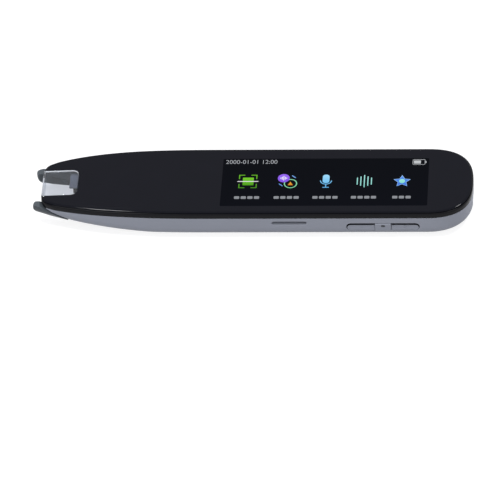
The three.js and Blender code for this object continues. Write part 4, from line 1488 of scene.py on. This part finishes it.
@dataclass
class NoseGuard:
    """Two feet on a fork that slides back when the nose is set on paper."""

    voxel: float = 0.11
    rounds: int = 5
    kept: float = 0.45

    def build(self) -> None:
        """Builds and dresses the fork, a copy of its node with the edges worn round."""
        fork = seal(copy_of("tip_fork"))
        modify(fork, "REMESH", mode="VOXEL", voxel_size=self.voxel * MM)
        modify(fork, "SMOOTH", factor=0.5, iterations=self.rounds)
        modify(fork, "DECIMATE", ratio=self.kept)
        seat(
            fork, "guard_fork", SMOKED_ABS, Slot.SMOKED_GUARD, "tip_fork", body="tip_fork",
            degrees=60,
        )


@dataclass(frozen=True)
class CapForm:
    """How one key's cap is drawn.

    The drop lowers its top edge, the lean sets its top deeper, the growth is its share
    of the snug fit, and towards is the side on which it meets the middle key.
    """

    rim: float
    corner: float
    drop: float
    lean: float
    growth: float
    towards: int


@dataclass
class SideKeys:
    """Three keys in one row in the side of the lower casing."""

    row_height: float = 4.95
    key_height: float = 2.8
    back: float = -14.55
    flange: float = -15.05
    flange_inset: float = 0.25
    mark_depth: float = 0.1
    ahead: float = 0.3
    snug: float = 0.12
    dot_rise: float = 0.55
    left: CapForm = CapForm(0.13, 1.25, 0.75, 0.2, 0.7, 1)
    middle: CapForm = CapForm(0.24, 0.3, -0.12, 0.0, 1.4, 0)
    right: CapForm = CapForm(0.13, 1.25, 0.75, 0.2, 0.7, -1)
    arrow: tuple[tuple[float, float], ...] = ((-0.62, 0.0), (0.42, 0.52), (0.42, -0.52))

    def build(self) -> None:
        """Builds and dresses the keys."""
        # The outer keys' dark cores paint the shade in the gap round their caps; the middle key's
        # core keeps the caps' paint
        for node, form, mark, dark in (
            ("left_key", self.left, self.arrow_mark, KEY_CORE_GAP_SHADE),
            ("middle_key", self.middle, self.dot_mark, PAINTED_KEY),
            ("right_key", self.right, self.ring_mark, KEY_CORE_GAP_SHADE),
        ):
            low, high = node_box(node)
            rings = self.cap_rings(low, high, form)
            flange = rounded_block(
                (low.x + self.flange_inset, self.flange, low.z),
                (high.x - self.flange_inset, self.back, high.z),
                corner=0.25, axis=Axis.Y,
            )
            core = weld(loft(rings[:2]), flange)
            cap = carve(loft(rings[2:]), mark((low.x + high.x) / 2, low.y, form.lean))
            seat(cap, node + "_cap", PAINTED_KEY, Slot.CASING_GREY, node, body=node)
            seat(core, node + "_core", dark, Slot.BLACK_PLASTIC, body=node)
        low, high = node_box("middle_key")
        places = [(low.y + deep, -inset) for deep, inset in
                  ((0.2, 0.0), (0.07, 0.0), (0.03, 0.06), (0.02, 0.2))]
        centre = ((low.x + high.x) / 2, self.row_height + self.dot_rise)
        dot = stepped(Axis.Y, (1.44, 0.94, 0.47), centre, places, 8)
        seat(dot, "middle_key_dot", DARK_DOT, Slot.BLACK_PLASTIC, body="middle_key")

    def cap_rings(self, low: Vector, high: Vector, form: CapForm) -> list[np.ndarray]:
        """Draws the rings of a key: two for its core, then those of its cap.

        Args:
            low: Lowest corner of its node.
            high: Highest corner of its node.
            form: How its cap is drawn.

        Returns:
            The rings from the flange outwards.
        """
        rim, grow = form.rim, self.snug * form.growth
        half = (self.key_height + self.snug - form.drop) / 2
        height = self.row_height - (form.drop + self.snug) / 2
        middle = (low.x + high.x) / 2 + form.towards * grow / 2
        length = high.x - low.x + grow
        rings = []
        for y, inset in (
            (self.flange + 0.05, 0.0), (low.y + rim + 0.02, 0.0), (low.y + rim, 0.0),
            (low.y + rim * 0.55, rim * 0.1), (low.y + rim * 0.22, rim * 0.38),
            (low.y + rim * 0.04, rim * 0.8), (low.y, rim * 1.6),
        ):
            long, corner = length - 2 * inset, max(form.corner - inset, 0.05)
            reach = corner * abs(form.towards)
            plan = rounded_plan(long + reach, 2 * (half - inset), corner, 9)
            shifted = plan[:, 0] + form.towards * reach / 2
            plan[:, 0] = np.clip(shifted, -long / 2, long / 2)
            ring = stand_up(plan, Axis.Y, y, (middle, height))
            rings.append(self.leaned(ring, form.lean) if rings else ring)
        return rings

    def leaned(self, ring: np.ndarray, lean: float) -> np.ndarray:
        """Leans a ring back, so that the top of a key stands deeper than its bottom.

        Args:
            ring: Points of the ring.
            lean: How much deeper the top stands.

        Returns:
            The points of the leaned ring.
        """
        share = (ring[:, 2] - self.row_height) / self.key_height + 0.5
        return ring + np.column_stack((0 * share, lean * share, 0 * share))

    def mark(
        self, plans: Sequence[tuple[np.ndarray, float]], middle: float, height: float,
        lean: float, ends: Ends = Ends.FACE,
    ) -> Piece:
        """Draws the cutter of a pictogram.

        Args:
            plans: Outline and place of each ring.
            middle: Middle of the key along the pen.
            height: Height of the pictogram's middle.
            lean: How much deeper the top of the key stands.
            ends: How its two ends are closed.

        Returns:
            The cutter.
        """
        rings = [stand_up(plan, Axis.Y, y, (middle, height)) for plan, y in plans]
        return loft([self.leaned(ring, lean) for ring in rings], ends)

    def arrow_mark(self, middle: float, face: float, lean: float) -> Piece:
        """Draws the cutter of the arrow.

        Args:
            middle: Middle of the key along the pen.
            face: Where its face lies.
            lean: How much deeper its top stands.

        Returns:
            The cutter.
        """
        plan = np.array(self.arrow)
        plans = ((plan * 1.04, face - self.ahead), (plan, face + self.mark_depth))
        return self.mark(plans, middle, self.row_height, lean)

    def ring_mark(self, middle: float, face: float, lean: float) -> Piece:
        """Draws the cutter of the ring.

        Args:
            middle: Middle of the key along the pen.
            face: Where its face lies.
            lean: How much deeper its top stands.

        Returns:
            The cutter.
        """
        wide, narrow = (rounded_plan(2 * r, 2 * r, r) for r in (0.6, 0.4))
        start, deep = face - self.ahead, face + self.mark_depth
        plans = ((wide, start), (wide, deep), (narrow, deep), (narrow, start))
        return self.mark(plans, middle, self.row_height, lean, Ends.JOINED)

    def dot_mark(self, middle: float, face: float, lean: float) -> Piece:
        """Draws the cutter of the dot's seat.

        Args:
            middle: Middle of the key along the pen.
            face: Where its face lies.
            lean: How much deeper its top stands.

        Returns:
            The cutter.
        """
        plan = rounded_plan(1.5, 1.0, 0.5)
        plans = ((plan, face - self.ahead), (plan, face + self.mark_depth + 0.05))
        return self.mark(plans, middle, self.row_height + self.dot_rise, lean)


@dataclass
class ChargingSocket:
    """Pressed socket shell in the tail with the contacts on its tongue."""

    height: float = 5.05
    sheet: float = 0.3
    mouth: tuple[float, float, float] = (8.94, 3.2, 1.6)
    tongue: float = 0.7
    pitch: float = 0.5
    contact_count: int = 11

    def build(self) -> None:
        """Builds and dresses the socket's pieces."""
        seat(self.shell(), "socket_drawn_shell", PLATED_STEEL, Slot.STEEL, "socket_shell")
        seat(self.contacts(), "socket_contacts", GOLD_CONTACT, Slot.STEEL)

    def shell(self) -> Piece:
        """Builds the drawn shell with a rolled mouth.

        Returns:
            The shell.
        """
        low, high = node_box("socket_shell")
        places = (
            (low.x, 0.0), (high.x - 0.12, 0.0), (high.x - 0.03, -0.04), (high.x, -0.15),
            (high.x - 0.03, -0.26), (high.x - 0.12, -self.sheet), (low.x, -self.sheet),
        )
        return stepped(Axis.X, self.mouth, (0.0, self.height), places, 14, Ends.JOINED)

    def contacts(self) -> Piece:
        """Builds the rows of contacts on both faces of the tongue.

        Returns:
            The contacts, joined.
        """
        back = node_box("socket_tongue")[1].x
        pads = []
        for z in (self.height - self.tongue / 2, self.height + self.tongue / 2):
            for i in range(self.contact_count):
                y = (i - (self.contact_count - 1) / 2) * self.pitch
                low, high = (back - 3.6, y - 0.13, z - 0.04), (back - 0.25, y + 0.13, z + 0.04)
                pads.append(
                    rounded_block(low, high, corner=0.08, edge=0.02, steps=2, edge_steps=1)
                )
        return gather(pads)


@dataclass
class ScreenPicture:
    """Picture on the lit screen: pictograms, blank captions, a clock and a charge sign.

    It lies flush under the gloss of the cover sheet. Places are from the screen's middle.
    """

    middle_x: float = 24.94
    middle_y: float = -0.83
    length: float = 71.6
    width: float = 24.07
    under: float = 11.4
    panel_top: float = 11.487
    sign_top: float = 11.494
    detail_top: float = 11.5
    line_width: float = 0.36
    icon_row: float = 0.4
    caption_row: float = -7.8
    caption_pitch: float = 2.3
    clock_row: float = 10.4
    clock_size: tuple[float, float] = (17.9, 1.95)
    clock_start: float = -34.85
    charge_place: tuple[float, float] = (32.3, 10.05)
    icon_places: tuple[float, ...] = (-26.7, -13.0, 0.4, 13.7, 26.8)
    caption_counts: tuple[int, ...] = (4, 4, 4, 4, 3)

    def build(self) -> None:
        """Builds and dresses the parts of the picture."""
        edge = self.width / 2
        panel = self.shape(rounded_plan(self.length, self.width, 0.5, 6), (0, 0), self.panel_top)
        self.show("screen_panel", [panel], "dark_blue", "#060810", "#05070D", -edge, edge)
        grey = ("caption_grey", "#85888E", "#93969B", -9, -6.5)
        self.show("screen_captions", self.captions(), *grey)
        self.show("screen_clock", [self.clock()], "clock_grey", "#A9ACB2", "#B4B7BC", 9, 12)
        self.show("screen_charge", self.charge(), "charge_white", "#B9BCC0", "#CDD0D3", 9, 12)
        icons = (self.scan_icon, self.talk_icon, self.voice_icon, self.wave_icon, self.star_icon)
        for icon, x in zip(icons, self.icon_places):
            icon(x, self.icon_row)

    def show(
        self, name: str, parts: list[Piece], finish: str, lower: str, upper: str,
        low_y: float, high_y: float,
    ) -> None:
        """Joins parts of one colour and seats them.

        Args:
            name: Name of the joined piece.
            parts: Parts of that colour.
            finish: Name of their finish, without its beginning.
            lower: Colour at their lower edge.
            upper: Colour at their upper edge.
            low_y: Lower edge.
            high_y: Upper edge.
        """
        span = (low_y + self.middle_y, high_y + self.middle_y)
        seat(gather(parts), name, LitGraphic("screen_" + finish, lower, upper, *span), Slot.DISPLAY)

    def shape(self, plan: np.ndarray, place: Point, top: float | None = None) -> Piece:
        """Stands a plan up as a thin flat part of the picture.

        Args:
            plan: Its outline.
            place: Where its middle lies.
            top: Height of its face, or nothing for that of a sign.

        Returns:
            The part.
        """
        centre = (self.middle_x + place[0], self.middle_y + place[1])
        heights = (self.under, top or self.sign_top)
        return loft([stand_up(plan, Axis.Z, z, centre) for z in heights])

    def line(
        self, place: Point, length: float, degrees: float = 0.0, top: float | None = None,
        width: float | None = None,
    ) -> Piece:
        """Draws a straight line with round ends.

        Args:
            place: Where its middle lies.
            length: Its length.
            degrees: Its turn from the pen's length.
            top: Height of its face, or nothing for that of a sign.
            width: Its width, or nothing for that of most lines.

        Returns:
            The part.
        """
        width = width or self.line_width
        turn = math.radians(degrees)
        along = (math.cos(turn), math.sin(turn))
        plan = rounded_plan(length, width, width / 2, 6) @ np.array([along, (-along[1], along[0])])
        return self.shape(plan, place, top)

    def captions(self) -> list[Piece]:
        """Builds the rows of blank blocks under the pictograms.

        Returns:
            The blocks.
        """
        block = rounded_plan(1.8, 1.35, 0.3, 5)
        return [
            self.shape(block, (x + (i - (count - 1) / 2) * self.caption_pitch, self.caption_row))
            for x, count in zip(self.icon_places, self.caption_counts)
            for i in range(count)
        ]

    def clock(self) -> Piece:
        """Builds plain clock numbers, made a mesh before they are placed.

        Returns:
            The numbers.
        """
        clear_selection()
        bpy.ops.object.text_add()
        text = bpy.context.object
        text.data.body = "2000-01-01 12:00"
        text.data.size = 1.0
        text.data.extrude = 0.04
        text.data.offset = -0.008
        pick(text)
        bpy.ops.object.convert(target="MESH")
        numbers = bpy.context.object
        corners = np.array([v.co for v in numbers.data.vertices])
        low, high = corners.min(0), corners.max(0)
        wide, tall = self.clock_size
        scale = np.array([wide, tall, self.sign_top - self.under]) / (high - low)
        x, y = self.middle_x + self.clock_start, self.middle_y + self.clock_row - tall / 2
        moved = ((corners - low) * scale + np.array([x, y, self.under])) * MM
        numbers.data.vertices.foreach_set("co", moved.ravel())
        numbers.data.update()
        return seal(numbers)

    def charge(self) -> list[Piece]:
        """Builds the charge sign: an outline, its knob and a partly filled bar.

        Returns:
            The three parts.
        """
        x, y = self.charge_place
        centre = (self.middle_x + x, self.middle_y + y)
        outer, inner = rounded_plan(4.35, 2.7, 0.45, 5), rounded_plan(4.03, 2.38, 0.2, 5)
        low, top = self.under, self.sign_top
        rings = [
            stand_up(plan, Axis.Z, z, centre)
            for plan, z in ((outer, low), (outer, top), (inner, top), (inner, low))
        ]
        knob = self.shape(rounded_plan(0.3, 1.0, 0.13, 4), (x + 2.42, y))
        bar = self.shape(rounded_plan(2.4, 1.6, 0.1, 4), (x - 0.55, y))
        return [loft(rings, Ends.JOINED), knob, bar]

    def scan_icon(self, x: float, y: float) -> None:
        """Builds the green block in corner brackets with a bright line across.

        Args:
            x: Where its middle lies along the screen.
            y: Where its middle lies across the screen.
        """
        corners = []
        for sx in (-1, 1):
            for sy in (-1, 1):
                corners.append(self.line((x + sx * 2.1, y + sy * 3.2), 2.1))
                corners.append(self.line((x + sx * 3.0, y + sy * 2.3), 2.2, 90))
        green = ("leaf_green", "#4C9420", "#6CBA2A", y - 3.5, y + 3.5)
        self.show("scan_corners", corners, *green)
        block = self.shape(rounded_plan(3.8, 3.9, 0.2, 4), (x + 0.1, y))
        self.show("scan_block", [block], "bright_green", "#4C9A1A", "#78CC2C", y - 2, y + 2)
        line = self.line((x, y), 7.3, 0, self.detail_top)
        self.show("scan_line", [line], "line_white", "#E2DEE6", "#F0EEF4", y - 1, y + 1)

    def talk_icon(self, x: float, y: float) -> None:
        """Builds the purple disc and the green ring with their plain marks.

        Args:
            x: Where its middle lies along the screen.
            y: Where its middle lies across the screen.
        """
        low, top = self.under, self.sign_top - 0.002
        places = ((low, 0.0), (top, 0.0), (top, -self.line_width), (low, -self.line_width))
        centre = (self.middle_x + x + 1.15, self.middle_y + y - 1.15)
        ring = stepped(Axis.Z, (4.6, 4.6, 2.3), centre, places, 14, Ends.JOINED)
        self.show("talk_ring", [ring], "mint", "#7FD3A0", "#8FE0B0", y - 3.5, y + 1)
        disc = self.shape(rounded_plan(4.1, 4.2, 2.05, 14), (x - 1.3, y + 1.6))
        self.show("talk_disc", [disc], "violet", "#8454E8", "#9A6BF4", y - 0.6, y + 3.8)
        bars = [
            self.line((x - 1.3 + step * 0.5, y + 1.6), height, 90, self.detail_top, 0.3)
            for step, height in zip((-2, -1, 0, 1, 2), (0.8, 1.5, 2.4, 1.5, 0.8))
        ]
        self.show("talk_bars", bars, "pale_violet", "#EDE6FA", "#F7F3FD", y, y + 3)
        wedge = np.array([(-0.92, -0.8), (0.92, -0.8), (0.0, 0.95)])
        mark = self.shape(wedge, (x + 1.1, y - 1.15))
        self.show("talk_mark", [mark], "orange", "#D98A1E", "#F2A93A", y - 2, y)
        strokes = [self.line((x + dx, y + dy), 1.8, -42) for dx, dy in ((2.17, 2.36), (-2.2, -1.8))]
        self.show("talk_strokes", strokes, "soft_blue", "#5E93DC", "#7AAEF0", y - 3, y + 3)

    def voice_icon(self, x: float, y: float) -> None:
        """Builds the light-blue microphone.

        Args:
            x: Where its middle lies along the screen.
            y: Where its middle lies across the screen.
        """
        capsule = self.shape(rounded_plan(2.35, 4.3, 1.1, 10), (x, y + 1.2))
        self.show("voice_capsule", [capsule], "sky", "#6FBEF0", "#A2DDFB", y - 1, y + 3.4)
        angles = np.radians(np.linspace(183, 357, 22))
        arc = np.column_stack((np.cos(angles), np.sin(angles)))
        bow = [
            self.shape(np.vstack((arc * 2.1, arc[::-1] * 1.76)), (x, y + 0.45)),
            self.line((x, y - 2.35), 1.5, 90),
            self.line((x, y - 3.1), 2.3),
        ]
        self.show("voice_bow", bow, "mid_blue", "#63B2EA", "#7CC4F2", y - 3.4, y + 1)

    def wave_icon(self, x: float, y: float) -> None:
        """Builds the five aqua bars.

        Args:
            x: Where its middle lies along the screen.
            y: Where its middle lies across the screen.
        """
        bars = [
            self.line((x + step * 1.22, y), height, 90)
            for step, height in zip((-2, -1, 0, 1, 2), (3.6, 4.8, 6.3, 4.8, 3.6))
        ]
        self.show("wave_bars", bars, "aqua", "#8ED8D0", "#A9E9E2", y - 3.3, y + 3.3)

    def star_icon(self, x: float, y: float) -> None:
        """Builds the blue star with a pale rim and an aqua middle.

        Args:
            x: Where its middle lies along the screen.
            y: Where its middle lies across the screen.
        """
        angles = math.pi / 2 + np.arange(10) * math.pi / 5
        reach = np.where(np.arange(10) % 2 == 0, 1, 0.5)
        star = np.column_stack((reach * np.cos(angles), reach * np.sin(angles)))
        rim = self.shape(star * 3.12, (x - 0.05, y - 0.1), self.sign_top - 0.003)
        self.show("star_rim", [rim], "star_rim", "#7FAEEE", "#9FC8F6", y - 3, y + 3)
        body = self.shape(star * 2.7, (x - 0.05, y - 0.1))
        self.show("star_body", [body], "star_blue", "#3F72DC", "#5490EE", y - 3, y + 3)
        disc = rounded_plan(2.1, 2.1, 1.05, 10)
        middle = self.shape(disc, (x - 0.05, y - 0.05), self.detail_top)
        self.show("star_middle", [middle], "star_aqua", "#84DCD0", "#A4EBE0", y - 1, y + 1)


def dress_inner_parts() -> None:
    """Gives each part inside the casing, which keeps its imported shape, its own finish."""
    for finish, nodes in INNER_NODES.items():
        for node in nodes.split():
            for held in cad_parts[node].material_slots:
                held.material = finish.make()
            log.info("%s: dressed in %s", node, finish.name)


@dataclass
class Studio:
    """Pale floor, soft lamps and the camera at the photograph's angle.

    The lamps' places and sizes are in metres and their energy in watts.
    """

    azimuth: float = math.radians(-6.2)
    elevation: float = math.radians(43.31)
    roll: float = math.radians(-4.38)
    distance: float = 1800.0
    scale: float = 2.8744
    frame_pixels: float = 500.0
    sensor: float = 36.0
    offset_right: float = 2.431
    offset_up: float = 15.703
    shift_x: float = 0.75
    floor_size: float = 8.0
    floor_height: float = -0.00002
    ambient: float = 0.58
    lamps: tuple[tuple[str, Point, tuple[float, float], float], ...] = (
        ("lamp_over_nose", (-0.42, -0.1, 1.5), (0.26, 0.2), 12.0),
        ("lamp_over_tail", (0.74, 0.3, 1.4), (0.2, 0.26), 9.5),
        ("lamp_front", (-0.9, -1.5, 0.8), (1.2, 0.9), 9.4),
        ("lamp_side", (1.3, -1.2, 1.0), (0.9, 0.9), 4.4),
    )

    def build(self) -> None:
        """Builds the floor, the world, the lamps and the camera."""
        self.floor()
        self.world()
        for name, place, size, energy in self.lamps:
            light = bpy.data.lights.new(name, "AREA")
            light.shape = "RECTANGLE"
            light.size, light.size_y = size
            light.energy = energy
            lamp = put(name, light)
            lamp.location = place
            lamp.rotation_euler = (-Vector(place)).to_track_quat("-Z", "Y").to_euler()
        self.camera()
        bpy.context.scene.view_settings.view_transform = "Standard"

    def floor(self) -> None:
        """Lays the pale floor under the pen."""
        clear_selection()
        bpy.ops.mesh.primitive_plane_add(size=self.floor_size, location=(0, 0, self.floor_height))
        floor = bpy.context.object
        floor.name = "floor"
        floor.data.materials.append(PaleFloor().make())
        settle(floor)

    def world(self) -> None:
        """Makes the surroundings white to the eye, in gloss and in glass, softer as light."""
        world = bpy.context.scene.world = bpy.data.worlds.new("studio_white")
        recipe = Recipe(world)
        level = {"Value": recipe.white_rays(), "To Min": self.ambient, "To Max": 1.0}
        strength = recipe.add("MapRange", "Result", level)
        background = recipe.tree.nodes["Background"]
        recipe.feed(background, {"Color": (1, 1, 1, 1), "Strength": strength})

    def camera(self) -> None:
        """Sets the camera from its azimuth, elevation and roll about the pen."""
        away, aside = math.cos(self.azimuth), math.sin(self.azimuth)
        flat, steep = math.cos(self.elevation), math.sin(self.elevation)
        ahead = Vector((aside * flat, away * flat, -steep))
        level = Vector((away, -aside, 0))
        over = level.cross(ahead)
        right = math.cos(self.roll) * level + math.sin(self.roll) * over
        up = -math.sin(self.roll) * level + math.cos(self.roll) * over
        place = -ahead * self.distance - right * self.offset_right - up * self.offset_up
        place.x += self.shift_x
        view = bpy.data.cameras.new("camera")
        view.sensor_fit = "HORIZONTAL"
        view.sensor_width = self.sensor
        view.lens = self.scale * self.distance * self.sensor / self.frame_pixels
        view.clip_start = 0.05
        view.clip_end = 100
        camera = put("camera", view)
        turn = Matrix((right, up, -ahead)).transposed()
        camera.matrix_world = Matrix.Translation(place * MM) @ turn.to_4x4()
        bpy.context.scene.camera = camera


def main() -> None:
    """Builds each sub-assembly in order and the studio round them."""
    logging.basicConfig(level=logging.INFO, format="%(name)s %(message)s")
    Studio().build()
    Casing().build()
    NoseReader().build()
    NoseGuard().build()
    SideKeys().build()
    ChargingSocket().build()
    ScreenPicture().build()
    dress_inner_parts()
    log.info("all pieces are in")


if __name__ == "__main__":
    main()
